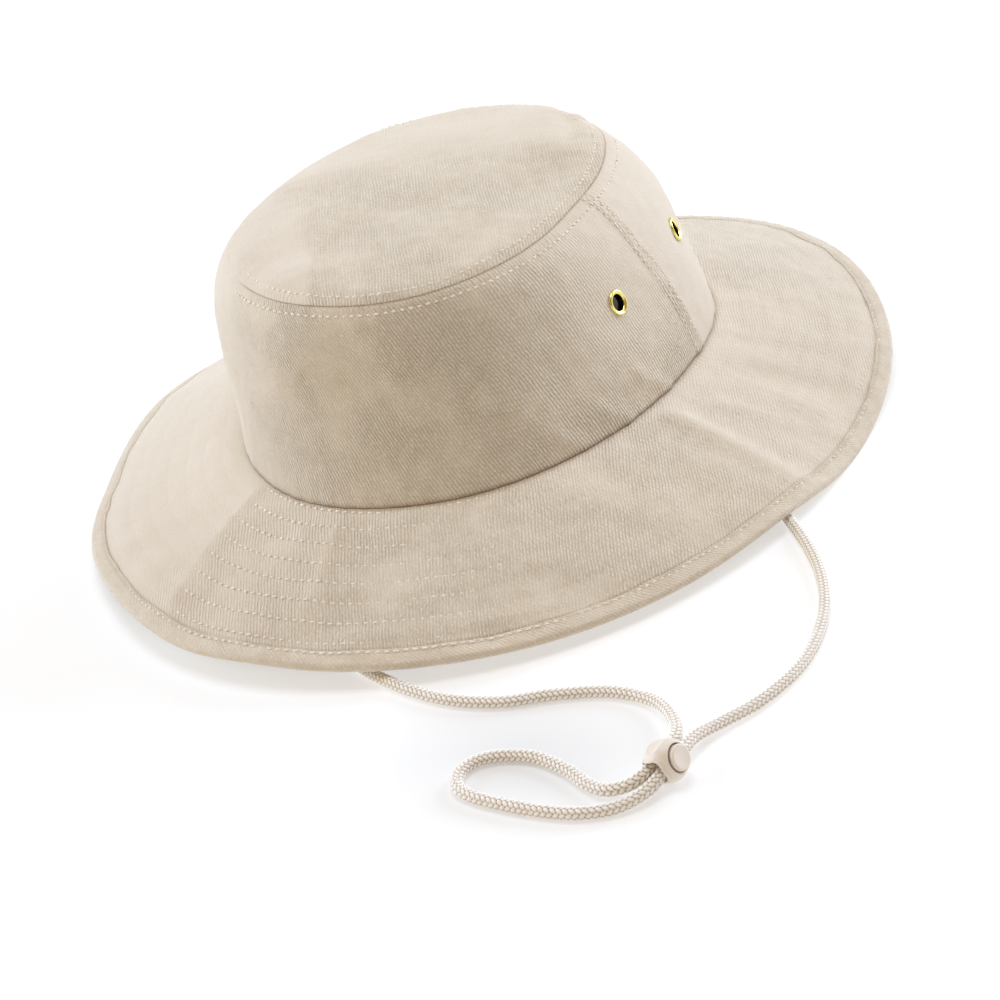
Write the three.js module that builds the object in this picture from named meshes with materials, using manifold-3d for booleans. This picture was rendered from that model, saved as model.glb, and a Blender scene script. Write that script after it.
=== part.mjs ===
// Surf hat of cotton twill with a quilted brim, brass eyelets and a loose chin cord.
// Millimetres, +Z up, the front towards -Y, the floor at z = 0.
// Angles run round the hat in degrees, from +X, the wearer's left, through +Y, the back.
import * as THREE from 'three';
import { mergeVertices } from 'three/addons/utils/BufferGeometryUtils.js';
import Module from 'manifold-3d';

const wasm = await Module();
wasm.setup();

// Driving dimensions
const GAP = 0.3;
const COLUMNS = 72;
const HEAD = { halfWidth: 86.7, halfLength: 106.3, height: 28.9 };
const TIP = { halfWidth: 67.7, halfLength: 83.3, x: -4.5, y: -11.5, height: 69.2, rise: 4.4, riseAngle: 100, dome: 4 };
const CLOTH = { crown: 1.6, brim: 2, binding: 1 };
const BINDING = { width: 8.5, noseSteps: 8 };
const SIDE_SEAM = { low: 10.8, high: 5.5, gap: 0.3 };
const EYELET = { angle: 18.3, height: 0.54, hole: 2.3, barrel: 2.7, flange: 3.7, thickness: 0.6, clearance: 0.4 };
const TAB = { width: 9, length: 12, thickness: 2, corner: 3, clearance: 0.5 };
const CORD = { diameter: 3.9, sides: 8, steps: 84, bendWeight: 12, samples: 800 };
const TOGGLE = { x: 153.7, y: -191.8, z: 6.5, radius: 6.4, tilt: 24, turn: -7, faceAt: 4.55 };
const SOCKET = { radius: 4.2, floor: 3 };
const GROOVE = { x: -0.3, radius: 3.6, depth: 0.9 };
const CHANNEL = { x: -1.65, z: -0.62, halfWidth: 4.15, halfHeight: 3.45, corner: 2.3, lip: 0.9, standsOut: 0.35 };
const BUTTON = { radius: 3.8, from: 4.4, to: 5.85, edge: 0.5, dish: 0.2 };

// Middle of the brim's outline, seen from above, where the hat's own origin lies
const CENTRE = { x: -3.24, y: -2.43 };

// Crown and brim by section. base, middle and tip push the crown's wall out or in at the
// brim seam, half way up and at the top. width and drop place the brim's edge.
const SECTIONS = [
  { angle: 0, base: -4.4, middle: 0, tip: -4.3, width: 60, drop: 28 },
  { angle: 30, base: -2.6, middle: 2.2, tip: -2.7, width: 63, drop: 20.5 },
  { angle: 60, base: -0.6, middle: 2.4, tip: 1.2, width: 66, drop: 12.5 },
  { angle: 90, base: 0, middle: 1, tip: 2.6, width: 65, drop: 14.5 },
  { angle: 120, base: 2, middle: 2, tip: 1.5, width: 60.5, drop: 26 },
  { angle: 150, base: 2, middle: 4, tip: -0.8, width: 61, drop: 28 },
  { angle: 180, base: -2, middle: 4.1, tip: -2.4, width: 64, drop: 26 },
  { angle: 210, base: -7.9, middle: 0.8, tip: -0.9, width: 61.5, drop: 26.5 },
  { angle: 240, base: -3, middle: -1.2, tip: -0.8, width: 61, drop: 19.5 },
  { angle: 270, base: 5.3, middle: -0.4, tip: 0.8, width: 64.5, drop: 19.7 },
  { angle: 300, base: 6.3, middle: 1.7, tip: 4.1, width: 61.2, drop: 23.3 },
  { angle: 330, base: 0, middle: 0.8, tip: 1, width: 60, drop: 24.6 },
];

// Waves of the brim, growing towards its edge
const BRIM_WAVES = [
  { where: 'over the cord', angle: 341, spread: 12, lift: 3.4 },
  { where: 'left rest', angle: 4, spread: 9, lift: -0.4 },
  { where: 'right rest', angle: 197, spread: 13, lift: -1.3 },
  { where: 'front ridge', angle: 272, spread: 6, lift: 1 },
  { where: 'front hollow', angle: 262, spread: 6, lift: -0.8 },
];

// Dents and swellings of the crown's wall. height runs from 0 at the seam to 1 at the tip.
const CROWN_DENTS = [
  { where: 'shoulder behind the left seam', angle: 52, height: 0.8, spread: 24, tall: 0.24, out: 4 },
  { where: 'front hollow', angle: 287, height: 0.45, spread: 20, tall: 0.3, out: -1.6 },
  { where: 'fold at the front right', angle: 232, height: 0.25, spread: 9, tall: 0.3, out: -1.4 },
];

// Dents of the top panel, in millimetres from its middle
const TIP_DENTS = [
  { where: 'hollow by the left edge', x: 48, y: 16, spread: 18, lift: -5 },
  { where: 'fold behind it', x: 34, y: 44, spread: 14, lift: 1 },
];

// Places where the rim of the top panel is pressed down
const RIM_DIPS = [
  { where: 'back left corner', angle: 60, spread: 14, lift: -6 },
];

const radians = THREE.MathUtils.degToRad;
const vector = (x, y, z) => new THREE.Vector3(x, y, z);

// Value of one column at an angle, on a smooth closed curve through the sections
function section(angle, column) {
  const count = SECTIONS.length;
  const place = (((angle % 360) + 360) % 360) / (360 / count);
  const start = Math.floor(place);
  const f = place - start;
  const [a, b, c, d] = [-1, 0, 1, 2].map((step) => SECTIONS[(start + step + count) % count][column]);
  return b + 0.5 * f * (c - a + f * (2 * a - 5 * b + 4 * c - d + f * (3 * (b - c) + d - a)));
}

function bell(distance, spread) {
  return Math.exp(-((distance / spread) ** 2));
}

function turn(from, to) {
  return ((((from - to + 180) % 360) + 360) % 360) - 180;
}

function sum(rows, value) {
  return rows.reduce((total, row) => total + value(row), 0);
}

// Outward direction of an oval at an angle, level with the floor
function outward(angle, oval) {
  const t = radians(angle);
  return vector(oval.halfLength * Math.cos(t), oval.halfWidth * Math.sin(t), 0).normalize();
}

function ovalPoint(angle, oval, offset, z) {
  const t = radians(angle);
  const centre = vector(oval.x ?? 0, oval.y ?? 0, z);
  const point = vector(oval.halfWidth * Math.cos(t), oval.halfLength * Math.sin(t), 0);
  return point.add(centre).addScaledVector(outward(angle, oval), offset);
}

// Height of the top panel over the brim seam, without its dome
function tipHeight(angle, reach = 1) {
  const dips = sum(RIM_DIPS, (dip) => dip.lift * bell(turn(angle, dip.angle), dip.spread));
  return TIP.height + TIP.rise * reach * Math.cos(radians(angle - TIP.riseAngle)) + dips * reach ** 6;
}

// Outer face of the crown's wall
function wallPoint(angle, height) {
  const base = section(angle, 'base');
  const tip = section(angle, 'tip');
  const bulge = section(angle, 'middle') - (base + tip) / 2;
  const low = ovalPoint(angle, HEAD, base, HEAD.height);
  const high = ovalPoint(angle, TIP, tip, HEAD.height + tipHeight(angle));
  const dents = sum(CROWN_DENTS, (dent) =>
    dent.out * bell(turn(angle, dent.angle), dent.spread) * bell(height - dent.height, dent.tall));
  const fade = 4 * height * (1 - height);
  const out = fade * (bulge + dents);
  return low.lerp(high, height).addScaledVector(outward(angle, HEAD), out);
}

// Direction that stands on a surface, from two small steps along it
function normal(surface, u, v, stepU, stepV) {
  const alongU = surface(u + stepU, v).sub(surface(u - stepU, v));
  const alongV = surface(u, v + stepV).sub(surface(u, v - stepV));
  return alongU.cross(alongV).normalize();
}

function wallNormal(angle, height) {
  return normal(wallPoint, angle, height, 0.5, 0.01);
}

// Middle layer of the brim. reach runs from 0 at the crown to 1 at the edge.
function brimMiddle(angle, reach) {
  const waves = sum(BRIM_WAVES, (wave) => wave.lift * bell(turn(angle, wave.angle), wave.spread));
  const start = HEAD.height - CLOTH.brim / 2;
  const fall = (section(angle, 'drop') - CLOTH.brim / 2) * Math.max(reach, 0) ** 1.15;
  const out = section(angle, 'base') + section(angle, 'width') * reach;
  return ovalPoint(angle, HEAD, out, start - fall + waves * reach ** 2);
}

function brimLength(angle) {
  return Math.hypot(section(angle, 'width'), section(angle, 'drop'));
}

// A point of the brim or its binding, by its distance in from the edge and its height off the middle
function brimPoint(angle, inset, height) {
  const reach = 1 - inset / brimLength(angle);
  const up = normal(brimMiddle, angle, Math.max(reach, 0.03), 0.5, 0.01);
  return brimMiddle(angle, reach).addScaledVector(up, -height);
}

// The top panel, domed a little. reach runs from 0 in the middle to 1 at its edge.
function tipPoint(angle, reach) {
  const rim = ovalPoint(angle, TIP, section(angle, 'tip'), 0);
  const point = vector(TIP.x, TIP.y, 0).lerp(rim, reach);
  const dents = sum(TIP_DENTS, (dent) => {
    const away = Math.hypot(point.x - TIP.x - dent.x, point.y - TIP.y - dent.y);
    return dent.lift * bell(away, dent.spread);
  });
  point.z = HEAD.height + tipHeight(angle, reach) + (1 - reach ** 2) * (TIP.dome + dents);
  return point;
}

// Closed mesh with welded corners and its faces turned outwards
function closedMesh(points, faces) {
  const loose = new THREE.BufferGeometry().setFromPoints(points);
  loose.setIndex(faces.flat());
  const geometry = mergeVertices(loose, 1e-4);
  const corners = geometry.index.array;
  const place = geometry.attributes.position;
  const at = (i) => vector(place.getX(i), place.getY(i), place.getZ(i));
  let kept = [];
  let volume = 0;
  for (let i = 0; i < corners.length; i += 3) {
    const [a, b, c] = corners.slice(i, i + 3);
    if (a !== b && b !== c && c !== a) {
      kept.push([a, b, c]);
      volume += at(a).dot(at(b).cross(at(c)));
    }
  }
  if (volume < 0) {
    kept = kept.map(([a, b, c]) => [a, c, b]);
  }
  geometry.setIndex(kept.flat());
  return geometry;
}

// Solid swept through rows of points. Each row is a closed loop round the solid's section.
// A ring joins its last row to its first; a strip is closed at both ends.
function sweep(rows, ring) {
  const size = rows[0].length;
  const faces = [];
  const last = ring ? rows.length : rows.length - 1;
  for (let i = 0; i < last; i += 1) {
    const here = i * size;
    const next = ((i + 1) % rows.length) * size;
    for (let j = 0; j < size; j += 1) {
      const k = (j + 1) % size;
      faces.push([here + j, next + j, next + k], [here + j, next + k, here + k]);
    }
  }
  if (!ring) {
    for (let j = 0; j < size / 2 - 1; j += 1) {
      const k = size - 1 - j;
      const end = (rows.length - 1) * size;
      faces.push([j, j + 1, k - 1], [j, k - 1, k]);
      faces.push([end + j, end + k - 1, end + j + 1], [end + j, end + k, end + k - 1]);
    }
  }
  return closedMesh(rows.flat(), faces);
}

function steps(count, from = 0, to = 1) {
  return Array.from({ length: count + 1 }, (unused, i) => from + ((to - from) * i) / count);
}

function ringAngles() {
  return steps(COLUMNS, 0, 360).slice(0, COLUMNS);
}

// Booleans for the holes
function toManifold(geometry) {
  const bare = geometry.clone();
  bare.deleteAttribute('normal');
  bare.deleteAttribute('uv');
  const merged = mergeVertices(bare, 1e-4);
  const mesh = new wasm.Mesh({
    numProp: 3,
    vertProperties: new Float32Array(merged.attributes.position.array),
    triVerts: new Uint32Array(merged.index.array),
  });
  return new wasm.Manifold(mesh);
}

function fromManifold(solid) {
  const mesh = solid.getMesh();
  const geometry = new THREE.BufferGeometry();
  geometry.setAttribute('position', new THREE.BufferAttribute(mesh.vertProperties, 3));
  geometry.setIndex(new THREE.BufferAttribute(mesh.triVerts, 1));
  return geometry;
}

function cutFrom(geometry, cutters) {
  const solid = cutters.reduce((rest, cutter) => rest.subtract(toManifold(cutter)), toManifold(geometry));
  return fromManifold(solid);
}

// Materials
const cloth = new THREE.MeshStandardMaterial({ color: 0xcfc2b0, roughness: 0.95, metalness: 0 });
const braid = new THREE.MeshStandardMaterial({ color: 0xddd2c0, roughness: 0.9, metalness: 0 });
const brass = new THREE.MeshStandardMaterial({ color: 0xc9a83c, roughness: 0.3, metalness: 1 });
const plastic = new THREE.MeshStandardMaterial({ color: 0xe6dccd, roughness: 0.45, metalness: 0 });

const hat = new THREE.Group();
hat.position.set(-CENTRE.x, -CENTRE.y, 0);

function add(name, geometry, material) {
  const mesh = new THREE.Mesh(geometry, material);
  mesh.name = name;
  hat.add(mesh);
  return mesh;
}

// Turns a piece made along +Y so that it stands along a direction at a point
function standAt(geometry, point, direction) {
  const turned = new THREE.Quaternion().setFromUnitVectors(vector(0, 1, 0), direction);
  geometry.applyQuaternion(turned);
  geometry.translate(point.x, point.y, point.z);
  return geometry;
}

// Top panel of the crown
function crownTip() {
  const reaches = steps(4);
  const rows = ringAngles().map((angle) => {
    const over = reaches.map((reach) => tipPoint(angle, reach));
    const under = over.map((point) => point.clone().setZ(point.z - CLOTH.crown));
    return [...over, ...under.reverse()];
  });
  return sweep(rows, true);
}

// The two seams stand at the sides and lean with the wall
function sideSeam(height) {
  return SIDE_SEAM.low + (SIDE_SEAM.high - SIDE_SEAM.low) * height;
}

// Where the eyelets sit: two on each side, before and behind the seam
const EYELETS = [
  { name: 'left_front', angle: sideSeam(EYELET.height) - EYELET.angle },
  { name: 'left_back', angle: sideSeam(EYELET.height) + EYELET.angle },
  { name: 'right_front', angle: 180 - sideSeam(EYELET.height) + EYELET.angle },
  { name: 'right_back', angle: 180 - sideSeam(EYELET.height) - EYELET.angle },
];

// Side panel of the crown between two seams, given as angles that depend on the height
function bandPanel(from, to, names) {
  const low = GAP / TIP.height;
  const high = 1 - (CLOTH.crown + GAP) / TIP.height;
  const heights = steps(7, low, high);
  const rows = steps(COLUMNS / 2).map((along) => {
    const angleAt = (height) => from(height) + (to(height) - from(height)) * along;
    const outside = heights.map((height) => wallPoint(angleAt(height), height));
    const inside = heights.map((height) => {
      const angle = angleAt(height);
      const point = wallPoint(angle, height).addScaledVector(wallNormal(angle, height), -CLOTH.crown);
      const level = wallPoint(angle, height).z;
      return point.setZ(height === low || height === high ? level : point.z);
    });
    return [...outside, ...inside.reverse()];
  });
  const holes = EYELETS.filter((eyelet) => names.includes(eyelet.name)).map(({ angle }) => {
    const drill = new THREE.CylinderGeometry(EYELET.barrel + EYELET.clearance, EYELET.barrel + EYELET.clearance, 12, 20);
    return standAt(drill, wallPoint(angle, EYELET.height), wallNormal(angle, EYELET.height));
  });
  return cutFrom(sweep(rows, false), holes);
}

// Brim of two plies, from under the crown's wall to inside the binding
function brimRing() {
  const reaches = [1, 0.85, 0.7, 0.55, 0.4, 0.27, 0.14, 0];
  const rows = ringAngles().map((angle) => {
    const length = brimLength(angle);
    const insets = reaches.map((reach) => (1 - reach) * length);
    insets[0] = CLOTH.binding + CLOTH.brim / 2 + GAP - 0.7;
    const underWall = (height) => {
      const out = section(angle, 'base') - CLOTH.crown;
      return ovalPoint(angle, HEAD, out, HEAD.height - CLOTH.brim / 2 + height);
    };
    const half = CLOTH.brim / 2;
    const over = insets.map((inset) => brimPoint(angle, inset, half));
    const under = insets.map((inset) => brimPoint(angle, inset, -half));
    over[over.length - 1] = ovalPoint(angle, HEAD, section(angle, 'base'), HEAD.height);
    under[under.length - 1] = ovalPoint(angle, HEAD, section(angle, 'base'), HEAD.height - CLOTH.brim);
    return [...over, underWall(half), underWall(-half), ...under.reverse()];
  });
  return sweep(rows, true);
}

// Folded strip round the brim's edge, pressed flat where it rests on the floor
function bindingRing() {
  const inner = CLOTH.brim / 2 + GAP;
  const outer = inner + CLOTH.binding;
  const inside = outer - inner;
  const rows = ringAngles().map((angle) => {
    const nose = steps(BINDING.noseSteps, 90, -90).map((degrees) => {
      const across = outer - outer * Math.cos(radians(degrees));
      return brimPoint(angle, across, outer * Math.sin(radians(degrees)));
    });
    const loop = [
      brimPoint(angle, BINDING.width, inner),
      brimPoint(angle, BINDING.width, outer),
      ...nose,
      brimPoint(angle, BINDING.width, -outer),
      brimPoint(angle, BINDING.width, -inner),
      brimPoint(angle, inside, -inner),
      brimPoint(angle, inside, inner),
    ];
    return loop.map((point) => point.setZ(Math.max(point.z, 0)));
  });
  return sweep(rows, true);
}

// Rolled brass eyelet, turned round its own axis
function eyeletRing() {
  const under = -CLOTH.crown - EYELET.clearance;
  const over = EYELET.clearance;
  const profile = [
    [EYELET.hole, under - EYELET.thickness + 0.15],
    [EYELET.hole + 0.15, under - EYELET.thickness],
    [EYELET.flange - 0.3, under - EYELET.thickness],
    [EYELET.flange, under - 0.2],
    [EYELET.flange - 0.2, under],
    [EYELET.barrel, under],
    [EYELET.barrel, over],
    [EYELET.flange, over],
    [EYELET.flange, over + EYELET.thickness * 0.5],
    [EYELET.flange - 0.5, over + EYELET.thickness],
    [EYELET.hole + 0.3, over + EYELET.thickness],
    [EYELET.hole, over + EYELET.thickness - 0.3],
  ];
  const loop = [...profile, profile[0]].map(([radius, along]) => new THREE.Vector2(radius, along));
  return new THREE.LatheGeometry(loop, 20);
}

// Cloth tab inside the side seam that holds one end of the cord
function cordTab(angle) {
  const { width, length, thickness, corner } = TAB;
  const outline = new THREE.Shape();
  outline.moveTo(-width / 2, 0);
  outline.lineTo(-width / 2, -length + corner);
  outline.quadraticCurveTo(-width / 2, -length, -width / 2 + corner, -length);
  outline.lineTo(width / 2 - corner, -length);
  outline.quadraticCurveTo(width / 2, -length, width / 2, -length + corner);
  outline.lineTo(width / 2, 0);
  outline.closePath();
  const tab = new THREE.ExtrudeGeometry(outline, { depth: thickness, bevelEnabled: false, curveSegments: 4 });
  tab.translate(0, 0, -thickness);
  const rim = (at) => ovalPoint(at, HEAD, section(at, 'base') - CLOTH.crown, HEAD.height - GAP / 2);
  const along = rim(angle + 3).sub(rim(angle - 3)).normalize();
  const up = vector(0, 0, 1);
  const out = vector(0, 0, 0).crossVectors(along, up);
  tab.applyMatrix4(new THREE.Matrix4().makeBasis(along, up, out));
  const place = rim(angle).addScaledVector(out, -TAB.clearance);
  tab.translate(place.x, place.y, place.z);
  return tab;
}

// Route of the chin cord, chosen by hand: left tab, under the brim, through the toggle,
// round the loop, back through the toggle and under the brim to the right tab
const onFloor = CORD.diameter / 2 + 0.05;
const CORD_ROUTE = [
  [78.4, 18.8, 16.3], [78.8, 18.3, 9.4], [80.9, 15.8, 4.8], [86, 9.5, 2.6], [98, -5, 2.1],
  [147, -62.5, onFloor], [161, -86, onFloor], [168.6, -108, onFloor], [170.4, -132, onFloor],
  [165.4, -152.5, 2.1], [158.9, -166, 2.7], [155.6, -176, 4.3], [154.8, -186, 4.9], [153.9, -195, 4.9],
  [151.9, -202.6, 3.4], [146.4, -209.6, 2.1], [134.5, -215.6, onFloor], [103.4, -214.8, onFloor],
  [96.9, -211.2, onFloor], [94.6, -204.4, onFloor], [98, -197.4, onFloor], [111, -193, onFloor],
  [125, -197, onFloor], [133.4, -201.8, 2.1], [140.4, -204.1, 2.9], [146.4, -202.3, 4.2], [149.9, -195.6, 5.3],
  [150.8, -187, 5.5], [150.6, -178, 5.4], [143.5, -166.4, 4], [134, -158.8, 2.5], [120, -156.9, onFloor],
  [104, -162, onFloor], [88, -169.6, onFloor], [64, -170.4, onFloor], [20, -149.5, 2.1],
  [-66, -24, 2.15], [-77, 3.6, 2.7], [-80.9, 15.8, 7], [-81.5, 19, 16],
];

// Path whose steps lie closer together where the cord bends
class CordPath extends THREE.CatmullRomCurve3 {
  constructor(points) {
    super(points);
    this.measure = [0];
    for (let i = 1; i <= CORD.samples; i += 1) {
      const [before, here] = [(i - 1) / CORD.samples, i / CORD.samples];
      const length = this.getPoint(here).distanceTo(this.getPoint(before));
      const bend = this.getTangent(here).angleTo(this.getTangent(before));
      this.measure.push(this.measure[i - 1] + length + CORD.bendWeight * bend);
    }
  }

  place(u) {
    const wanted = u * this.measure[CORD.samples];
    const next = Math.max(1, this.measure.findIndex((value) => value >= wanted));
    const [low, high] = [this.measure[next - 1], this.measure[next]];
    return (next - 1 + (wanted - low) / (high - low)) / CORD.samples;
  }

  getPointAt(u) {
    return this.getPoint(u === 1 ? 1 : this.place(u));
  }

  getTangentAt(u) {
    return this.getTangent(u === 1 ? 1 : this.place(u));
  }
}

function chinCord() {
  const round = new THREE.Shape();
  round.absarc(0, 0, CORD.diameter / 2, 0, 2 * Math.PI);
  return new THREE.ExtrudeGeometry(round, {
    steps: CORD.steps,
    curveSegments: CORD.sides,
    extrudePath: new CordPath(CORD_ROUTE.map((point) => vector(...point))),
    bevelEnabled: false,
  });
}

// The toggle's own frame: x along the button, y along the cords, z across both
const toggleFrame = new THREE.Group();
toggleFrame.position.set(TOGGLE.x, TOGGLE.y, TOGGLE.z);
toggleFrame.rotation.set(0, -radians(TOGGLE.tilt), radians(TOGGLE.turn), 'ZYX');
hat.add(toggleFrame);

function roundedSlot(halfWidth, halfHeight, corner, length) {
  const slot = new THREE.Shape();
  slot.moveTo(halfWidth, -halfHeight + corner);
  slot.lineTo(halfWidth, halfHeight - corner);
  slot.absarc(halfWidth - corner, halfHeight - corner, corner, 0, Math.PI / 2);
  slot.absarc(-halfWidth + corner, halfHeight - corner, corner, Math.PI / 2, Math.PI);
  slot.absarc(-halfWidth + corner, -halfHeight + corner, corner, Math.PI, 1.5 * Math.PI);
  slot.absarc(halfWidth - corner, -halfHeight + corner, corner, 1.5 * Math.PI, 2 * Math.PI);
  const bar = new THREE.ExtrudeGeometry(slot, { depth: length, bevelEnabled: false, curveSegments: 4 });
  bar.translate(0, 0, -length / 2);
  bar.rotateX(Math.PI / 2);
  bar.translate(CHANNEL.x, 0, CHANNEL.z);
  return bar;
}

// Ball with a flat face, a socket for the button and a lipped channel for the cords
function toggleBody() {
  const { radius, faceAt } = TOGGLE;
  const end = Math.acos(faceAt / radius);
  const ball = steps(12, Math.PI, end).map((a) => new THREE.Vector2(radius * Math.sin(a), radius * Math.cos(a)));
  ball[0].x = 0;
  const turned = new THREE.LatheGeometry([...ball, new THREE.Vector2(0, faceAt)], 28);
  turned.rotateZ(-Math.PI / 2);
  const { halfWidth, halfHeight, corner, lip, standsOut } = CHANNEL;
  const lipBar = roundedSlot(halfWidth + lip, halfHeight + lip, corner + lip, 4 * radius);
  const nearBall = new THREE.SphereGeometry(radius + standsOut, 28, 16);
  const behindFace = new THREE.BoxGeometry(4 * radius, 4 * radius, 4 * radius);
  behindFace.translate(faceAt - 1 - 2 * radius, 0, 0);
  const collar = toManifold(lipBar).intersect(toManifold(nearBall)).intersect(toManifold(behindFace));
  const socket = new THREE.CylinderGeometry(SOCKET.radius, SOCKET.radius, radius, 28);
  socket.rotateZ(-Math.PI / 2);
  socket.translate(SOCKET.floor + radius / 2, 0, 0);
  const groove = new THREE.CylinderGeometry(GROOVE.radius, GROOVE.radius, 4 * radius, 24);
  groove.translate(GROOVE.x, 0, radius + GROOVE.radius - GROOVE.depth);
  const channel = roundedSlot(halfWidth, halfHeight, corner, 4 * radius);
  const shaped = toManifold(turned).subtract(toManifold(groove)).add(collar);
  return fromManifold(shaped.subtract(toManifold(socket)).subtract(toManifold(channel)));
}

// Round push button with a softened edge and a shallow dish
function toggleButton() {
  const { radius, from, to, edge, dish } = BUTTON;
  const profile = [
    [0, from], [radius, from], [radius, to - edge], [radius - 0.15, to - 0.15], [radius - edge, to],
    [radius - 1.2, to - dish / 2], [0, to - dish],
  ];
  const button = new THREE.LatheGeometry(profile.map(([r, along]) => new THREE.Vector2(r, along)), 28);
  button.rotateZ(-Math.PI / 2);
  return button;
}

add('crown_tip', crownTip(), cloth);
const seamGapAngle = THREE.MathUtils.radToDeg(SIDE_SEAM.gap / 2 / HEAD.halfWidth);
const leftSeam = (side) => (height) => sideSeam(height) + side * seamGapAngle;
const rightSeam = (side) => (height) => 180 - sideSeam(height) + side * seamGapAngle;
const frontEnd = (height) => 360 + leftSeam(-1)(height);
add('band_front', bandPanel(rightSeam(1), frontEnd, ['left_front', 'right_front']), cloth);
add('band_back', bandPanel(leftSeam(1), rightSeam(-1), ['left_back', 'right_back']), cloth);
add('brim', brimRing(), cloth);
add('brim_binding', bindingRing(), cloth);
for (const { name, angle } of EYELETS) {
  const place = wallPoint(angle, EYELET.height);
  add(`eyelet_${name}`, standAt(eyeletRing(), place, wallNormal(angle, EYELET.height)), brass);
}
add('cord_tab_left', cordTab(SIDE_SEAM.low), cloth);
add('cord_tab_right', cordTab(180 - SIDE_SEAM.low), cloth);
add('chin_cord', chinCord(), braid);
toggleFrame.add(add('toggle_body', toggleBody(), plastic));
toggleFrame.add(add('toggle_button', toggleButton(), plastic));

export default hat;
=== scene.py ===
import math
import bmesh
import bpy
import numpy as np
from mathutils import Matrix, Vector


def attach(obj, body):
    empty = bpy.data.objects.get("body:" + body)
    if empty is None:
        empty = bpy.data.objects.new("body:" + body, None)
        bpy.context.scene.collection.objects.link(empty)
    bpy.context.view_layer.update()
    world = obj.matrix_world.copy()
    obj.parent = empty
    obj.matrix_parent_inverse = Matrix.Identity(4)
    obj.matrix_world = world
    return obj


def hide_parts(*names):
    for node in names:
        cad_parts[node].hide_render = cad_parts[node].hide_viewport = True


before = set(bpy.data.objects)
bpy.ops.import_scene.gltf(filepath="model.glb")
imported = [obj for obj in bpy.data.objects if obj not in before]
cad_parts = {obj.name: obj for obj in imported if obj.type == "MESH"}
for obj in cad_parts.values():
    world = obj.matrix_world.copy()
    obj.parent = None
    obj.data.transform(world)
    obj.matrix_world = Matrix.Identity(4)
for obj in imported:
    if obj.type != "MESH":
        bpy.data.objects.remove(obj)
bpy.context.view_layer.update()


# Twill cloth.
# The whole hat is heavy cotton twill, brushed soft. Its diagonal lines show where the nap is worn
# and fade where it is thick. Where the nap is thick the cloth is also painted lighter: partly its own
# nap colour and partly painted light on the side the lamps face, on the back and on fold crests.
# Seams, grooves and pucker troughs are painted darker as painted shade. All cloth pieces share this
# finish, each with its own line direction.
class Socket:
    """A socket of a node tree. Arithmetic on it adds Math nodes; node() adds any other node."""

    def __init__(self, tree, socket=None):
        self.tree = tree
        self.socket = socket

    def node(self, kind, settings=None, inputs=None, output=0):
        made = self.tree.nodes.new(kind)
        for name, value in (settings or {}).items():
            setattr(made, name, value)
        for name, value in (inputs or {}).items():
            self.join(value, made.inputs[name])
        return Socket(self.tree, made.outputs[output])

    def join(self, value, socket):
        if isinstance(value, Socket):
            self.tree.links.new(value.socket, socket)
        else:
            socket.default_value = value

    def other(self, output):
        return Socket(self.tree, self.socket.node.outputs[output])

    def maths(self, operation, *values):
        return self.node("ShaderNodeMath", {"operation": operation}, dict(enumerate(values)))

    def mix(self, amount, start, end, blend="MIX"):
        settings = {"data_type": "RGBA", "blend_type": blend}
        return self.node("ShaderNodeMix", settings, {0: amount, 6: start, 7: end}, 2)

    def noise(self, place, scale, detail=2.0, dimensions="3D"):
        settings = {"noise_dimensions": dimensions}
        return self.node("ShaderNodeTexNoise", settings, {"Vector": place, "Scale": scale, "Detail": detail})

    def mark(self, name):
        """An attribute's number, painted on the mesh"""
        return self.node("ShaderNodeAttribute", {"attribute_name": name}, None, 2)

    def spot(self):
        """The place on the object, in metres"""
        return self.node("ShaderNodeTexCoord", None, None, 3)

    def parts(self, vector):
        return self.node("ShaderNodeSeparateXYZ", None, {0: vector})

    def bump(self, shader, strength, distance, height):
        settings = {"Strength": strength, "Distance": distance, "Height": height}
        self.join(self.node("ShaderNodeBump", None, settings), shader["Normal"])

    def clamp(self):
        return self.maths("MINIMUM", self.maths("MAXIMUM", self, 0.0), 1.0)

    def __add__(self, value):
        return self.maths("ADD", self, value)

    def __sub__(self, value):
        return self.maths("SUBTRACT", self, value)

    def __rsub__(self, value):
        return self.maths("SUBTRACT", value, self)

    def __mul__(self, value):
        return self.maths("MULTIPLY", self, value)

    def __truediv__(self, value):
        return self.maths("DIVIDE", self, value)

    def __rtruediv__(self, value):
        return self.maths("DIVIDE", value, self)

    __radd__ = __add__
    __rmul__ = __mul__


def paint(red, green, blue):
    """Colour from the numbers that a screen shows, 0 to 255"""
    parts = [value / 255 for value in (red, green, blue)]
    return (*[((part + 0.055) / 1.055) ** 2.4 if part > 0.04 else part / 12.92 for part in parts], 1.0)


def new_finish(name, roughness, **constants):
    """A material, its shader's inputs, and a first socket to build on"""
    material = bpy.data.materials.new(name)
    material.use_nodes = True
    shader = material.node_tree.nodes["Principled BSDF"]
    shader.inputs["Roughness"].default_value = roughness
    for words, value in constants.items():
        shader.inputs[words.replace("_", " ")].default_value = value
    return material, shader.inputs, Socket(material.node_tree)


TWILL_LIGHT = paint(236, 226, 211)
TWILL_DARK = paint(198, 182, 159)
# Paint of the nap mark: partly the nap's own colour, partly painted light where the lamps fall
TWILL_NAP_AND_LIGHT = paint(227, 216, 202)
# Colour that the groove mark darkens the cloth towards: painted shade
TWILL_SHADE = paint(170, 146, 117)
TWILL = {"gap": 1.05, "float": 2.1, "float_step": 0.37, "wander": 1.6, "shiver": 0.5, "line": 0.46,
         "nap": 0.16, "pill": 0.05, "soft": 0.4}
TWILL_TONE = {"lines": 0.95, "pills": 0.2, "worn_off": 0.34, "start": 0.16, "nap_and_light": 0.33}
# Pucker height in millimetres, and how dark their troughs are painted, as painted shade
PUCKER = {"height": 0.075, "dark": 0.1}


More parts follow.
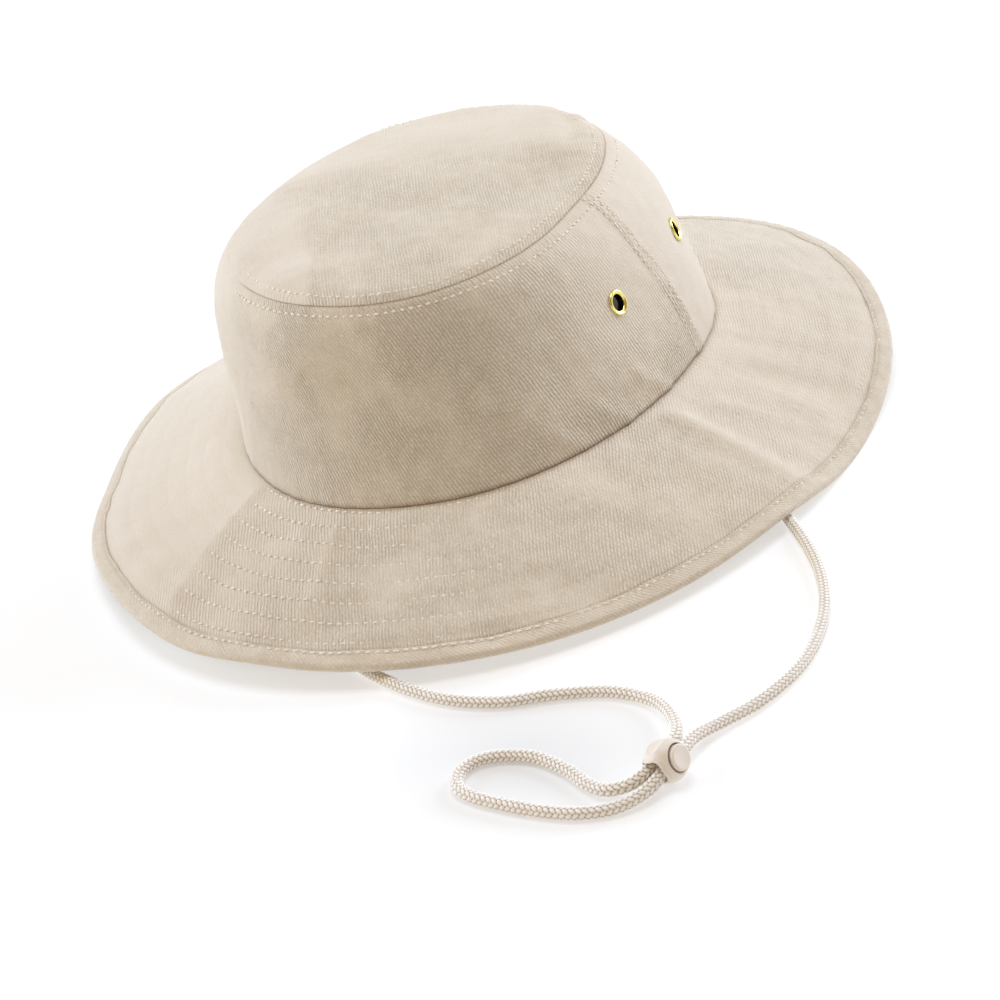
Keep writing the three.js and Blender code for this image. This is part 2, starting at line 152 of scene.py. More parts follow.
def twill_finish(name, slant, clear=1.0):
    """Brushed twill whose lines run at a slant, in degrees, over the cloth's own map in millimetres.
    Its nap mark says where the nap hides the lines, and also paints the cloth lighter there, partly the
    nap's own colour and partly painted light. Its groove mark darkens the cloth as painted shade. Where a
    piece has pull marks, the cloth puckers there, once for each whole number on its rows map, with
    painted shade in the troughs."""
    material, shader, start = new_finish(name, 0.92, Sheen_Weight=0.12, Specular_IOR_Level=0.18)
    cloth = start.node("ShaderNodeUVMap", {"uv_map": "cloth"})

    def uneven(scale, detail=1.0):
        return start.noise(cloth, scale, detail, "2D")

    u = start.parts(cloth)
    v = u.other(1)
    wander = (uneven(0.05) - 0.5) * TWILL["wander"]
    wander = wander + (uneven(0.6) - 0.5) * TWILL["shiver"]
    c, s = math.cos(math.radians(slant)), math.sin(math.radians(slant))
    line = (u * s - v * c + wander) / TWILL["gap"]
    along = (u * c + v * s) / TWILL["float"] + line.maths("FLOOR", line) * TWILL["float_step"]
    ridge = line.maths("SINE", line * math.tau) * 0.5 + 0.5
    float_end = along.maths("SINE", along * math.tau) * 0.5 + 0.5
    worn = (uneven(0.035, 3.0) - 0.33) * 4.5
    nap_and_light = start.mark("nap_and_light")
    shown = (worn.clamp() * (1 - TWILL["soft"]) + TWILL["soft"]) * (1 - nap_and_light * 0.9) * clear
    broken = uneven(0.9) * 0.9 + 0.1
    lines = ridge * (float_end * 0.4 + 0.6) * broken * shown * 1.5
    nap = uneven(1.5, 3.0)
    pills = ((uneven(0.8) - 0.58) * 6).clamp()
    mottle = uneven(0.16, 4.0)
    rough = 1 - nap_and_light * 0.6
    height = lines * TWILL["line"] + nap * rough * TWILL["nap"] + pills * TWILL["pill"]
    patch = (nap * 0.5 + mottle * 0.4 - 0.45) * rough
    light = lines * TWILL_TONE["lines"] + patch + pills * TWILL_TONE["pills"]
    light = (light + (1 - shown) * TWILL_TONE["worn_off"] + TWILL_TONE["start"]).clamp()
    # Lighter where the nap mark is and where the lines are hidden: partly the nap's colour, partly painted
    # light
    colour = start.mix(nap_and_light * TWILL_TONE["nap_and_light"], start.mix(light, TWILL_DARK, TWILL_LIGHT), TWILL_NAP_AND_LIGHT)
    # Painted shade in seams, grooves, quilting rows and along the binding's edge
    furrow_shade = start.mark("furrow_shade")
    counts = start.parts(start.node("ShaderNodeUVMap", {"uv_map": "rows"}))
    shift = uneven(0.12) * 9
    for count, mark in ((counts, "pull"), (counts.other(1), "side_pull")):
        pull = start.mark(mark)
        wave = count.maths("SINE", count * math.tau + shift)
        height = height + wave * pull * PUCKER["height"]
        # Painted shade in the pucker troughs
        furrow_shade = furrow_shade + pull * (0.5 - wave * 0.5) * PUCKER["dark"]
    start.join(start.mix(furrow_shade.clamp() * rough, colour, TWILL_SHADE, "MULTIPLY"), shader["Base Color"])
    start.bump(shader, 1.0, 0.001, height)
    return material


# Crown.
# The flat top panel and the two side panels are each one layer of twill. They are sewn together
# inside out and turned, so every seam is a narrow groove, and the top seam is topstitched twice.
HEAD = {"half_width": 86.7, "half_length": 106.3, "x": 0, "y": 0, "height": 28.9}
TIP = {"half_width": 67.7, "half_length": 83.3, "x": -4.5, "y": -11.5, "height": 69.2,
       "rise": 4.4, "rise_angle": 100, "dome": 4}
CROWN_CLOTH = 1.6
GAP = 0.3
BASE_GAP = 0.06
SIDE_SEAM = {"low": 10.8, "high": 5.5, "gap": 0.3}
CENTRE = np.array([3.24, 2.43, 0])

# The hat every 30 degrees from the wearer's left: how far out its crown stands, and its brim's width and drop
SECTIONS = [
    {"base": -4.4, "middle": 0, "tip": -4.3, "width": 60, "drop": 28},
    {"base": -2.6, "middle": 2.2, "tip": -2.7, "width": 63, "drop": 20.5},
    {"base": -0.6, "middle": 2.4, "tip": 1.2, "width": 66, "drop": 12.5},
    {"base": 0, "middle": 1, "tip": 2.6, "width": 65, "drop": 14.5},
    {"base": 2, "middle": 2, "tip": 1.5, "width": 60.5, "drop": 26},
    {"base": 2, "middle": 4, "tip": -0.8, "width": 61, "drop": 28},
    {"base": -2, "middle": 4.1, "tip": -2.4, "width": 64, "drop": 26},
    {"base": -7.9, "middle": 0.8, "tip": -0.9, "width": 61.5, "drop": 26.5},
    {"base": -3, "middle": -1.2, "tip": -0.8, "width": 61, "drop": 19.5},
    {"base": 5.3, "middle": -0.4, "tip": 0.8, "width": 64.5, "drop": 19.7},
    {"base": 6.3, "middle": 1.7, "tip": 4.1, "width": 61.2, "drop": 23.3},
    {"base": 0, "middle": 0.8, "tip": 1, "width": 60, "drop": 24.6},
]

# Dents and bulges
CROWN_DENTS = [
    {"angle": 52, "height": 0.8, "spread": 24, "tall": 0.24, "out": 4},
    {"angle": 287, "height": 0.45, "spread": 20, "tall": 0.3, "out": -1.6},
    {"angle": 232, "height": 0.25, "spread": 9, "tall": 0.3, "out": -1.4},
]
TIP_DENTS = [
    {"x": 48, "y": 16, "spread": 17, "lift": -6.5},
    {"x": 34, "y": 44, "spread": 14, "lift": 1},
]
RIM_DIPS = [{"angle": 60, "spread": 14, "lift": -2.5}]

# Folds and creases, each a long soft ridge between two places
WALL_FOLDS = [
    {"from": (246, 0.38), "to": (268, 0.18), "width": 2.2, "out": -0.7},
    {"from": (246, 0.44), "to": (268, 0.25), "width": 4, "out": 0.6},
    {"from": (238, 0.1), "to": (236, 0.45), "width": 4, "out": -0.9},
    {"from": (352, 0.02), "to": (345, 0.2), "width": 3, "out": 0.7},
    {"from": (338, 0.02), "to": (332, 0.16), "width": 3, "out": 0.6},
    {"from": (325, 0.02), "to": (321, 0.13), "width": 3, "out": 0.5},
]
TIP_FOLDS = [
    {"from": (66, 0.97), "to": (46, 0.86), "width": 3, "out": 1.2},
    {"from": (66, 0.9), "to": (44, 0.8), "width": 3.5, "out": -1.0},
    {"from": (251, 0.54), "to": (270, 0.92), "width": 4, "out": 0.8, "sharp": True},
]
TIP_SPAN = {"radius": 60, "width": 75}
TOPSTITCH = {"away": 4.5, "sink": 0.12, "width": 0.9, "edge": 0.24}
SHOULDER = {"reach": 11, "right_reach": 5, "right": 215, "seam": 1.5, "gap": 0.03}
# Side of the wall where the nap is thickest and the cloth is painted lighter, partly as painted light
NAP_AND_LIGHT_SIDE = {"angle": 208, "spread": 46}
SEAM_HIDDEN = {"from": 140, "soft_from": 20, "to": 243, "soft_to": 8}
SEAM_PUCKERS = 236
EDGE_STEPS = [0, 0.1, 0.28, 0.55, 0.9, 1.4, 2.1]


def section(angle, column):
    """Value of one column at an angle, on a smooth closed curve through the sections"""
    values = np.array([row[column] for row in SECTIONS], float)
    place = (np.asarray(angle, float) % 360) * len(values) / 360
    start = np.floor(place).astype(int)
    f = place - start
    a, b, c, d = (values[(start + step) % len(values)] for step in (-1, 0, 1, 2))
    return b + 0.5 * f * (c - a + f * (2 * a - 5 * b + 4 * c - d + f * (3 * (b - c) + d - a)))


def bell(distance, spread):
    return np.exp(-((distance / spread) ** 2))


def turn(angle, start):
    return (angle - start + 180) % 360 - 180


def rounded(distance, radius):
    """How far a rounded edge has fallen at a distance from its end"""
    left = np.clip(radius - distance, 0, radius)
    return radius - np.sqrt(np.maximum(radius**2 - left**2, 0))


def unit(way):
    return way / np.linalg.norm(way, axis=-1, keepdims=True)


def outward(angle, oval):
    t = np.radians(angle)
    return unit(np.stack([oval["half_length"] * np.cos(t), oval["half_width"] * np.sin(t), 0 * t], -1))


def oval_point(angle, oval, out, z):
    t = np.radians(angle)
    x = oval["x"] + oval["half_width"] * np.cos(t)
    y = oval["y"] + oval["half_length"] * np.sin(t)
    return np.stack([x, y, z + 0 * t], -1) + outward(angle, oval) * np.asarray(out)[..., None]


def tip_height(angle, reach=1.0):
    dips = sum(dip["lift"] * bell(turn(angle, dip["angle"]), dip["spread"]) for dip in RIM_DIPS)
    lean = TIP["rise"] * reach * np.cos(np.radians(angle - TIP["rise_angle"]))
    return TIP["height"] + lean + dips * reach**6


def wall_point(angle, height):
    """Outer face of the crown's wall. height runs from 0 at the brim seam to 1 at the top."""
    angle, height = np.broadcast_arrays(np.asarray(angle, float), np.asarray(height, float))
    base = section(angle, "base")
    tip = section(angle, "tip")
    bulge = section(angle, "middle") - (base + tip) / 2
    low = oval_point(angle, HEAD, base, HEAD["height"])
    high = oval_point(angle, TIP, tip, HEAD["height"] + tip_height(angle))
    for dent in CROWN_DENTS:
        near = bell(turn(angle, dent["angle"]), dent["spread"]) * bell(height - dent["height"], dent["tall"])
        bulge = bulge + dent["out"] * near
    out = 4 * height * (1 - height) * bulge
    return low + (high - low) * height[..., None] + outward(angle, HEAD) * out[..., None]


def tip_point(angle, reach):
    """The top panel. reach runs from 0 in its middle to 1 at its edge."""
    angle, reach = np.broadcast_arrays(np.asarray(angle, float), np.asarray(reach, float))
    middle = np.array([TIP["x"], TIP["y"], 0])
    point = middle + (oval_point(angle, TIP, section(angle, "tip"), 0) - middle) * reach[..., None]
    dome = TIP["dome"] + 0 * reach
    for dent in TIP_DENTS:
        away = np.hypot(point[..., 0] - TIP["x"] - dent["x"], point[..., 1] - TIP["y"] - dent["y"])
        dome = dome + dent["lift"] * bell(away, dent["spread"])
    point[..., 2] = HEAD["height"] + tip_height(angle, reach) + (1 - reach**2) * dome
    return point


def standing(surface, u, v, step_u=0.5, step_v=0.01):
    """Direction that stands on a surface, from two small steps along it"""
    along_u = surface(u + step_u, v) - surface(u - step_u, v)
    along_v = surface(u, v + step_v) - surface(u, v - step_v)
    return unit(np.cross(along_u, along_v))


def tip_radius(angle):
    return np.linalg.norm(tip_point(angle, 1.0)[..., :2] - [TIP["x"], TIP["y"]], axis=-1)


def crown_skin(angle, along):
    """The crown's outer face from the middle of its top down to the brim, with its soft shoulder.
    along is the distance past the corner between top and wall, and is below 0 on the top."""
    angle, along = np.broadcast_arrays(np.asarray(angle, float), np.asarray(along, float))
    on_top = tip_point(angle, 1 + np.minimum(along, 0) / tip_radius(angle))
    on_wall = wall_point(angle, 1 - np.maximum(along, 0) / TIP["height"])
    point = np.where((along < 0)[..., None], on_top, on_wall)
    reach = SHOULDER["reach"] + SHOULDER["right_reach"] * bell(turn(angle, SHOULDER["right"]), 60)
    down = unit(wall_point(angle, 0.9) - wall_point(angle, 1.0))
    out = unit(tip_point(angle, 1.0) - tip_point(angle, 0.9))
    soften = reach / 4 * np.maximum(0, 1 - abs(along) / reach) ** 2
    return point + (down - out) * soften[..., None]


def crown_way(angle, along):
    """The way that the crown's outer face looks"""
    inner = 2 - tip_radius(angle)
    return -standing(crown_skin, angle, np.maximum(along, inner), 0.5, 0.4)


def ripples(points, size, seed):
    """Smooth irregular height, mostly between -1 and 1, with bumps of about one size"""
    draw = np.random.default_rng(seed)
    count = 26
    way = draw.normal(size=(count, 3))
    way *= (math.tau / size * draw.uniform(0.6, 1.5, count) / np.linalg.norm(way, axis=1))[:, None]
    return np.sin(points @ way.T + draw.uniform(0, math.tau, count)).sum(-1) / math.sqrt(count)


def folds(table, angle, place, round_radius, tall):
    """Height of the named folds at each place, with its angle and its share of the way up or out.
    A sharp fold has a crest, and the others are round."""
    total = 0 * angle
    for fold in table:
        (angle_0, place_0), (angle_1, place_1) = fold["from"], fold["to"]
        across = np.radians(turn(angle, angle_0)) * round_radius
        along = (place - place_0) * tall
        way = (math.radians(turn(angle_1, angle_0)) * round_radius, (place_1 - place_0) * tall)
        share = np.clip((across * way[0] + along * way[1]) / (way[0] ** 2 + way[1] ** 2), 0, 1)
        away = np.hypot(across - share * way[0], along - share * way[1])
        crest = np.exp(-np.sqrt(away**2 + 1) / fold["width"])
        slope = crest if fold.get("sharp") else bell(away, fold["width"])
        total = total + fold["out"] * slope
    return total


def added(name, data):
    """Object of a mesh, lamp or camera, in the scene"""
    piece = bpy.data.objects.new(name, data)
    bpy.context.scene.collection.objects.link(piece)
    return piece


def mesh_of(name, edit):
    mesh = bpy.data.meshes.new(name)
    edit.to_mesh(mesh)
    edit.free()
    return mesh


def cloth_piece(name, rows, finish, ring, maps, marks):
    """Object swept through rows of points in millimetres. Each row is a closed loop round the
    cloth's section. A ring joins its last row to its first, and a strip is closed at both ends."""
    count, size = rows.shape[:2]
    last = count if ring else count - 1
    i, j = np.meshgrid(np.arange(last), np.arange(size), indexing="ij")
    corners = np.stack([[i, j], [i + 1, j], [i + 1, (j + 1) % size], [i, (j + 1) % size]], -1)
    corners = corners.transpose(1, 2, 3, 0).reshape(-1, 4, 2)
    if not ring:
        half = np.arange(size // 2 - 1)
        for row in (0, count - 1):
            cap = np.stack([half, half + 1, size - 2 - half, size - 1 - half], -1)
            cap = cap if row == 0 else cap[:, ::-1]
            corners = np.concatenate([corners, np.stack([np.full_like(cap, row), cap], -1)])
    faces = corners[..., 0] % count * size + corners[..., 1]
    points = (rows.reshape(-1, 3) + CENTRE) / 1000
    a, b, c = points[faces[:, 0]], points[faces[:, 1]], points[faces[:, 2]]
    if np.einsum("ij,ij", a, np.cross(b, c)) < 0:
        faces, corners = faces[:, ::-1], corners[:, ::-1]
    mesh = bpy.data.meshes.new(name)
    mesh.from_pydata(points.tolist(), [], faces.tolist())
    for map_name, values in maps.items():
        layer = mesh.uv_layers.new(name=map_name)
        layer.data.foreach_set("uv", values[corners[..., 0], corners[..., 1]].astype(np.float32).ravel())
    for mark, values in marks.items():
        layer = mesh.attributes.new(mark, "FLOAT", "POINT")
        layer.data.foreach_set("value", values[:count].astype(np.float32).ravel())
    edit = bmesh.new()
    edit.from_mesh(mesh)
    bmesh.ops.remove_doubles(edit, verts=edit.verts, dist=1e-6)
    edit.to_mesh(mesh)
    edit.free()
    mesh.shade_smooth()
    mesh.materials.append(finish)
    return added(name, mesh)


def finished(piece, slot, *nodes, body="hat"):
    """Ties a piece to its body and hides the CAD nodes that it stands for; the slot is not used"""
    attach(piece, body)
    if nodes:
        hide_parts(*nodes)
    return piece


def seam_relief(away, shown):
    """Height near a topstitched seam, by the distance from it and how well the seam shows"""
    stitched = -TOPSTITCH["sink"] * bell(away - TOPSTITCH["away"], TOPSTITCH["width"])
    puffed = 0.08 * bell(away - TOPSTITCH["away"] / 2, 1.2)
    return (stitched + puffed - rounded(np.maximum(away, 0), TOPSTITCH["edge"])) * shown


def seam_pull(away, point):
    """How strongly a topstitched seam puckers the cloth beside it"""
    return bell(away - 2.4, 2.2) * np.clip(0.5 + 0.6 * ripples(point, size=30, seed=6), 0.1, 1.3)


def nap_and_light_wall(angle, height):
    """How thickly the nap covers the crown's wall, which also paints it lighter, partly as painted light:
    most on the right and all round the back, where the lamps fall, and a little high up before the left seam"""
    from_left, from_right = turn(angle, side_seam(height)), turn(180 - side_seam(height), angle)
    behind = np.clip(np.minimum(from_left, from_right) / 1.5, 0, 1)
    high = bell(turn(angle, 354), 22) * np.clip((height - 0.15) / 0.35, 0, 1)
    right = bell(turn(angle, NAP_AND_LIGHT_SIDE["angle"]), NAP_AND_LIGHT_SIDE["spread"])
    return np.maximum(np.maximum(right, behind), 0.8 * high)


def nap_and_light_top(point):
    """The same nap and painted light for the top panel, whose right side and left back half are the smooth
    ones
    """
    crease = -15 - 0.46 * (point[..., 1] + 62)
    right = np.clip((crease - point[..., 0]) / (3 + 0.5 * np.maximum(0, point[..., 1] + 70)), 0, 1)
    back = np.clip((0.85 * point[..., 1] - 0.52 * point[..., 0]) / 28, 0, 1)
    return 0.9 * np.maximum(right, back)


def hidden_seam(angle):
    """How well the nap hides the top seam, from 0 to 1"""
    angle = np.asarray(angle, float) % 360
    begun = np.clip((angle - SEAM_HIDDEN["from"]) / SEAM_HIDDEN["soft_from"], 0, 1)
    return begun * np.clip((SEAM_HIDDEN["to"] - angle) / SEAM_HIDDEN["soft_to"], 0, 1)


def tip_top(angle, along):
    """The top panel's upper face with its folds and stitched edge, and the way it faces"""
    point, way = crown_skin(angle, along), crown_way(angle, along)
    away = -SHOULDER["seam"] - SHOULDER["gap"] / 2 - along
    reach = 1 + along / tip_radius(angle)
    calm = 1 - bell(away, 3)
    lift = folds(TIP_FOLDS, angle, reach, TIP_SPAN["radius"], TIP_SPAN["width"])
    lift += seam_relief(away, 1 - hidden_seam(angle))
    small = 0.09 * ripples(point, size=8, seed=4) * np.clip(away / 2, 0, 1)
    lift += 0.45 * ripples(point, size=34, seed=3) * calm + small
    lift += 0.08 * ripples(point, size=5, seed=5) * bell(away - TOPSTITCH["away"], 3)
    return point + way * lift[..., None], way, away


TIP_COLUMNS = 460
TIP_ROWS = {"top": 56, "under": 24}
angles = np.linspace(0, 360, TIP_COLUMNS + 1)[:, None]
steps = np.array(EDGE_STEPS)[None]
size = tip_radius(angles)
seam_at = -SHOULDER["seam"] - SHOULDER["gap"] / 2
inner = np.linspace(0, 1, TIP_ROWS["top"])[None, :-1]
flat_part = -size + (size + seam_at - steps[:, -1:]) * inner
along = np.concatenate([flat_part, seam_at - steps[:, ::-1] + 0 * size], 1)
top, way, away = tip_top(angles, along)
along_under = seam_at - 0.2 + (0.2 - seam_at - size) * np.linspace(0, 1, TIP_ROWS["under"])[None]
under = crown_skin(angles, along_under) - crown_way(angles, along_under) * CROWN_CLOTH
loops = np.concatenate([top, under], 1)
plain = 0 * under[..., 0]
shown = 1 - hidden_seam(angles)
# Painted shade along the top seam, where the nap doesn't hide it
marks = {"furrow_shade": np.concatenate([0.42 * bell(away, 0.5) * shown, plain], 1),
         "pull": np.concatenate([seam_pull(away, top) * shown, plain], 1),
         "nap_and_light": np.concatenate([nap_and_light_top(top), plain], 1)}
counts = np.stack([angles / 360 * SEAM_PUCKERS + 0 * loops[..., 0], 0 * loops[..., 0]], -1)
flat_finish = twill_finish("twill_top", 121, 0.85)
maps = {"cloth": loops[..., :2], "rows": counts}
tip = cloth_piece("top_panel", loops[:-1], flat_finish, True, maps, marks)
finished(tip, "cotton_twill", "crown_tip")


def side_seam(height):
    return SIDE_SEAM["low"] + (SIDE_SEAM["high"] - SIDE_SEAM["low"]) * height


SEAM_FOLD = {"stitches": (1.1, 4.4), "rise": 0.5, "width": 5.8, "puckers": 30}
WALL_RADIUS = 95
PANEL_LENGTH = 330
BASE_GATHERS = 84


def wall_out(angle, height):
    """The wall's outer face with its seams, folds and puckers, the way it faces, and its marks"""
    angle, height = np.broadcast_arrays(np.asarray(angle, float), np.asarray(height, float))
    tall = TIP["height"]
    along = (1 - height) * tall
    point, way = crown_skin(angle, along), crown_way(angle, along)
    from_top = along + SHOULDER["seam"] - SHOULDER["gap"] / 2
    from_base = height * tall - BASE_GAP
    left = np.radians(turn(angle, side_seam(height)))
    right = np.radians(turn(angle, 180 - side_seam(height)))
    from_seam = np.minimum(abs(left), abs(right)) * WALL_RADIUS
    seam_away = np.maximum(from_seam - SIDE_SEAM["gap"] / 2, 0)
    lapping = np.where(left < -math.pi / 2, -right, -left) > 0
    shown = 1 - hidden_seam(angle)
    out = seam_relief(np.maximum(from_top, 0), shown) - rounded(np.maximum(from_base, 0), 0.45)
    lap = np.clip((SEAM_FOLD["width"] - from_seam) / 2.4, 0, 1)
    lap = np.where(lapping, lap * lap * (3 - 2 * lap), 0)
    out += SEAM_FOLD["rise"] * lap - rounded(seam_away, 0.6)
    for row in SEAM_FOLD["stitches"]:
        out -= 0.1 * bell(from_seam - row, 0.6) * lapping
    out += folds(WALL_FOLDS, angle, height, WALL_RADIUS, tall)
    loose = bell(height - 0.5, 0.45)
    free = np.clip(from_top / 2, 0, 1)
    out += (0.5 * ripples(point, size=38, seed=11) * loose + 0.1 * ripples(point, size=9, seed=12)) * free
    gathered = np.sin(np.radians(angle) * BASE_GATHERS + 2 * ripples(point, size=60, seed=13))
    fading = np.exp(-np.maximum(from_base, 0) / 6)
    out += 0.2 * gathered * fading * (0.6 + 0.4 * ripples(point, size=70, seed=14))
    out += 0.12 * ripples(point, size=5, seed=15) * bell(from_top - TOPSTITCH["away"], 3)
    # Painted shade along the top seam, in the base seam's groove and beside the side seams
    furrow_shade = 0.42 * bell(from_top, 0.5) * shown + 0.7 * bell(from_base, 1.1) + 0.15 * bell(seam_away, 0.5)
    marks = {"furrow_shade": furrow_shade, "pull": seam_pull(from_top, point) * shown,
             "side_pull": 0.28 * bell(from_seam - 2.2, 2.2) * lapping, "nap_and_light": nap_and_light_wall(angle, height)}
    return point + way * out[..., None], way, marks


def wall_panel(name, start, end, finish, columns):
    """A side panel between two seams, whose angles depend on the height"""
    tall = TIP["height"]
    low, high = BASE_GAP, tall + SHOULDER["seam"] - SHOULDER["gap"] / 2
    ends = np.array(EDGE_STEPS)
    heights = np.concatenate([low + ends, np.linspace(low + 3, high - 3, 56), high - ends[::-1]])[None] / tall
    edge = ends / PANEL_LENGTH
    between = np.linspace(edge[-1], 1 - edge[-1], columns)[1:-1]
    share = np.concatenate([edge, between, 1 - edge[::-1]])[:, None]
    angle = start(heights) + (end(heights) - start(heights)) * share
    outside, way, marks = wall_out(angle, heights)
    flat = crown_skin(angle, (1 - heights) * tall)
    inside = flat - way * CROWN_CLOTH
    inside[:, 0, 2] = flat[:, 0, 2]
    loops = np.concatenate([outside, inside[:, ::-1]], 1)
    middle = (start(0.5) + end(0.5)) / 2
    shrink = WALL_RADIUS * (1 - 0.22 * heights)
    cloth = np.stack([np.radians(angle - middle) * shrink, heights * tall + 0 * angle], -1)
    counts = np.stack([angle / 360 * SEAM_PUCKERS, heights * SEAM_FOLD["puckers"] + 0 * angle], -1)
    maps = {"cloth": cloth, "rows": counts}
    maps = {key: np.concatenate([values, values[:, ::-1]], 1) for key, values in maps.items()}
    marks = {key: np.concatenate([values, 0 * values], 1) for key, values in marks.items()}
    return cloth_piece(name, loops, finish, False, maps, marks)


seam_gap = math.degrees(SIDE_SEAM["gap"] / 2 / HEAD["half_width"])
wall_finish = twill_finish("twill_side", -61, 1.12)
front = wall_panel(
    "side_panel_front",
    lambda height: 180 - side_seam(height) + seam_gap,
    lambda height: 360 + side_seam(height) - seam_gap,
    wall_finish, 280)
back = wall_panel(
    "side_panel_back",
    lambda height: side_seam(height) + seam_gap,
    lambda height: 180 - side_seam(height) - seam_gap,
    wall_finish, 220)


# Eyelets.
# Four brass eyelets let air in, two on each side, before and behind the side seam. Each is a short
# tube with a rolled rim, pushed through a punched hole and flared against the cloth inside.
EYELET = {"angle": 18.3, "height": 0.54, "hole": 2.9, "barrel": 3.2, "flange": 4.4, "roll": 0.48,
          "throat": 0.42, "clearance": 0.15}


def turned_mesh(name, profile, sides, place):
    """Shape turned round an axis from (radius, along) pairs in millimetres, set in its place"""
    rings = []
    edit = bmesh.new()
    for radius, along in profile:
        steps = [math.tau * k / sides for k in range(sides if radius > 0 else 1)]
        spots = [(radius * math.cos(t), radius * math.sin(t), along) for t in steps]
        rings.append([edit.verts.new(place @ (Vector(spot) / 1000)) for spot in spots])
    for low, high in zip(rings, rings[1:]):
        for k in range(sides):
            after = k + 1
            spots = [low[k % len(low)], low[after % len(low)], high[after % len(high)], high[k % len(high)]]
            edit.faces.new(dict.fromkeys(spots))
    bmesh.ops.remove_doubles(edit, verts=edit.verts, dist=1e-7)
    bmesh.ops.recalc_face_normals(edit, faces=edit.faces)
    mesh = mesh_of(name, edit)
    mesh.shade_smooth()
    return added(name, mesh)


def applied(piece):
    """Turns a piece's modifiers into plain mesh"""
    graph = bpy.context.evaluated_depsgraph_get()
    mesh = bpy.data.meshes.new_from_object(piece.evaluated_get(graph), depsgraph=graph)
    piece.modifiers.clear()
    piece.data = mesh
    return piece


def carve(piece, tool, operation="DIFFERENCE"):
    """Cuts one shape with another, or joins them, and takes the tool away"""
    cut = piece.modifiers.new("carve", "BOOLEAN")
    cut.operation = operation
    cut.solver = "EXACT"
    cut.object = tool
    applied(piece)
    bpy.data.objects.remove(tool)
    return piece


# The inside paint is painted shade: the barrel's inner face is made near black
BRASS_PAINT = {"bright": paint(255, 248, 165), "dull": paint(240, 224, 125), "inside": paint(52, 42, 26)}
brass, brass_inputs, start = new_finish("brass", 0.28, Metallic=1.0)
spot = start.spot()
tarnish = start.noise(spot, 900.0, 3.0)
metal = start.mix(tarnish, BRASS_PAINT["bright"], BRASS_PAINT["dull"])
inside = start.mark("inside")
start.join(start.mix(inside, metal, BRASS_PAINT["inside"]), brass_inputs["Base Color"])
start.join(tarnish * 0.2 + 0.18, brass_inputs["Roughness"])


def standing_at(point, way):
    """Place whose Z axis stands along a direction"""
    where = Matrix.Translation(Vector((point + CENTRE) / 1000))
    return where @ Vector((0, 0, 1)).rotation_difference(Vector(way)).to_matrix().to_4x4()


roll, throat = EYELET["roll"], EYELET["throat"]
hole, barrel, flange = EYELET["hole"], EYELET["barrel"], EYELET["flange"]
rim = [(flange - roll + roll * math.cos(t), 0.25 + roll * math.sin(t) * 1.3)
       for t in np.linspace(-0.5, 2.6, 9)]
collar = [(hole + throat * (1 - math.sin(t)), 0.2 + throat * math.cos(t)) for t in np.linspace(0.2, 1.57, 5)]
inner_end = -CROWN_CLOTH - 0.3
EYELET_PROFILE = [
    (barrel, 0.1), *rim, *collar, (hole, inner_end - 0.3), (hole + 0.3, inner_end - 0.6),
    (flange - 0.2, inner_end - 0.5), (flange, inner_end - 0.2), (barrel, inner_end), (barrel, 0.1)]
mid_seam = side_seam(EYELET["height"])
EYELETS = [
    ("eyelet_left_front", mid_seam - EYELET["angle"], front),
    ("eyelet_left_back", mid_seam + EYELET["angle"], back),
    ("eyelet_right_front", 180 - mid_seam + EYELET["angle"], front),
    ("eyelet_right_back", 180 - mid_seam - EYELET["angle"], back),
]
for node, angle, panel in EYELETS:
    at, high = np.array(float(angle)), np.array(EYELET["height"])
    point, way, marks = wall_out(at, high)
    place = standing_at(point, way)
    punch = barrel + EYELET["clearance"]
    carve(panel, turned_mesh("punch", [(0, -6), (punch, -6), (punch, 6), (0, 6)], 32, place))
    eyelet = turned_mesh(node + "_ring", EYELET_PROFILE, 44, place)
    local = place.inverted()
    spots = [local @ vert.co * 1000 for vert in eyelet.data.vertices]
    tube = [spot.xy.length < hole + 0.12 for spot in spots]
    # Marks the barrel's inner face, which the brass finish paints dark as painted shade inside the hole
    inside = eyelet.data.attributes.new("inside", "FLOAT", "POINT")
    inside.data.foreach_set("value", [float(held and spot.z < 0.3) for held, spot in zip(tube, spots)])
    eyelet.data.materials.append(brass)
    finished(eyelet, "eyelet_brass", node)
for panel, node in ((front, "band_front"), (back, "band_back")):
    panel.data.shade_smooth()
    finished(panel, "cotton_twill", node)


# Brim.
# Two plies of twill round a soft stiffener, quilted together by eight rows of stitches that follow
# the crown seam. The rows sink in, the cloth puffs between them and puckers beside each stitch.
BRIM_CLOTH = 2.0

# Where the brim's edge is lifted or lowered, and the folds across it
BRIM_WAVES = [
    {"angle": 341, "spread": 12, "lift": 3.4},
    {"angle": 4, "spread": 9, "lift": -0.4},
    {"angle": 197, "spread": 13, "lift": -1.3},
    {"angle": 272, "spread": 6, "lift": 1},
    {"angle": 262, "spread": 6, "lift": -0.8},
]
BRIM_FOLDS = [
    {"from": (251, 0.06), "to": (257, 0.85), "width": 8, "out": 1.7, "sharp": True},
    {"from": (275.8, 0.12), "to": (276.2, 0.74), "width": 2.6, "out": 1.1, "sharp": True},
    {"from": (281, 0.14), "to": (281, 0.7), "width": 6, "out": -0.2},
    {"from": (345.5, 0.16), "to": (347.6, 0.92), "width": 5.5, "out": 1.6},
    {"from": (355, 0.3), "to": (2, 0.9), "width": 4.5, "out": 0.8},
    {"from": (334, 0.1), "to": (333, 0.6), "width": 8, "out": -0.8},
    {"from": (8, 0.2), "to": (12, 0.7), "width": 7, "out": -0.8},
    {"from": (20, 0.2), "to": (24, 0.8), "width": 6, "out": 0.6},
    {"from": (201, 0.1), "to": (198, 0.9), "width": 9, "out": 1.0},
]
BRIM_COLUMNS = 600
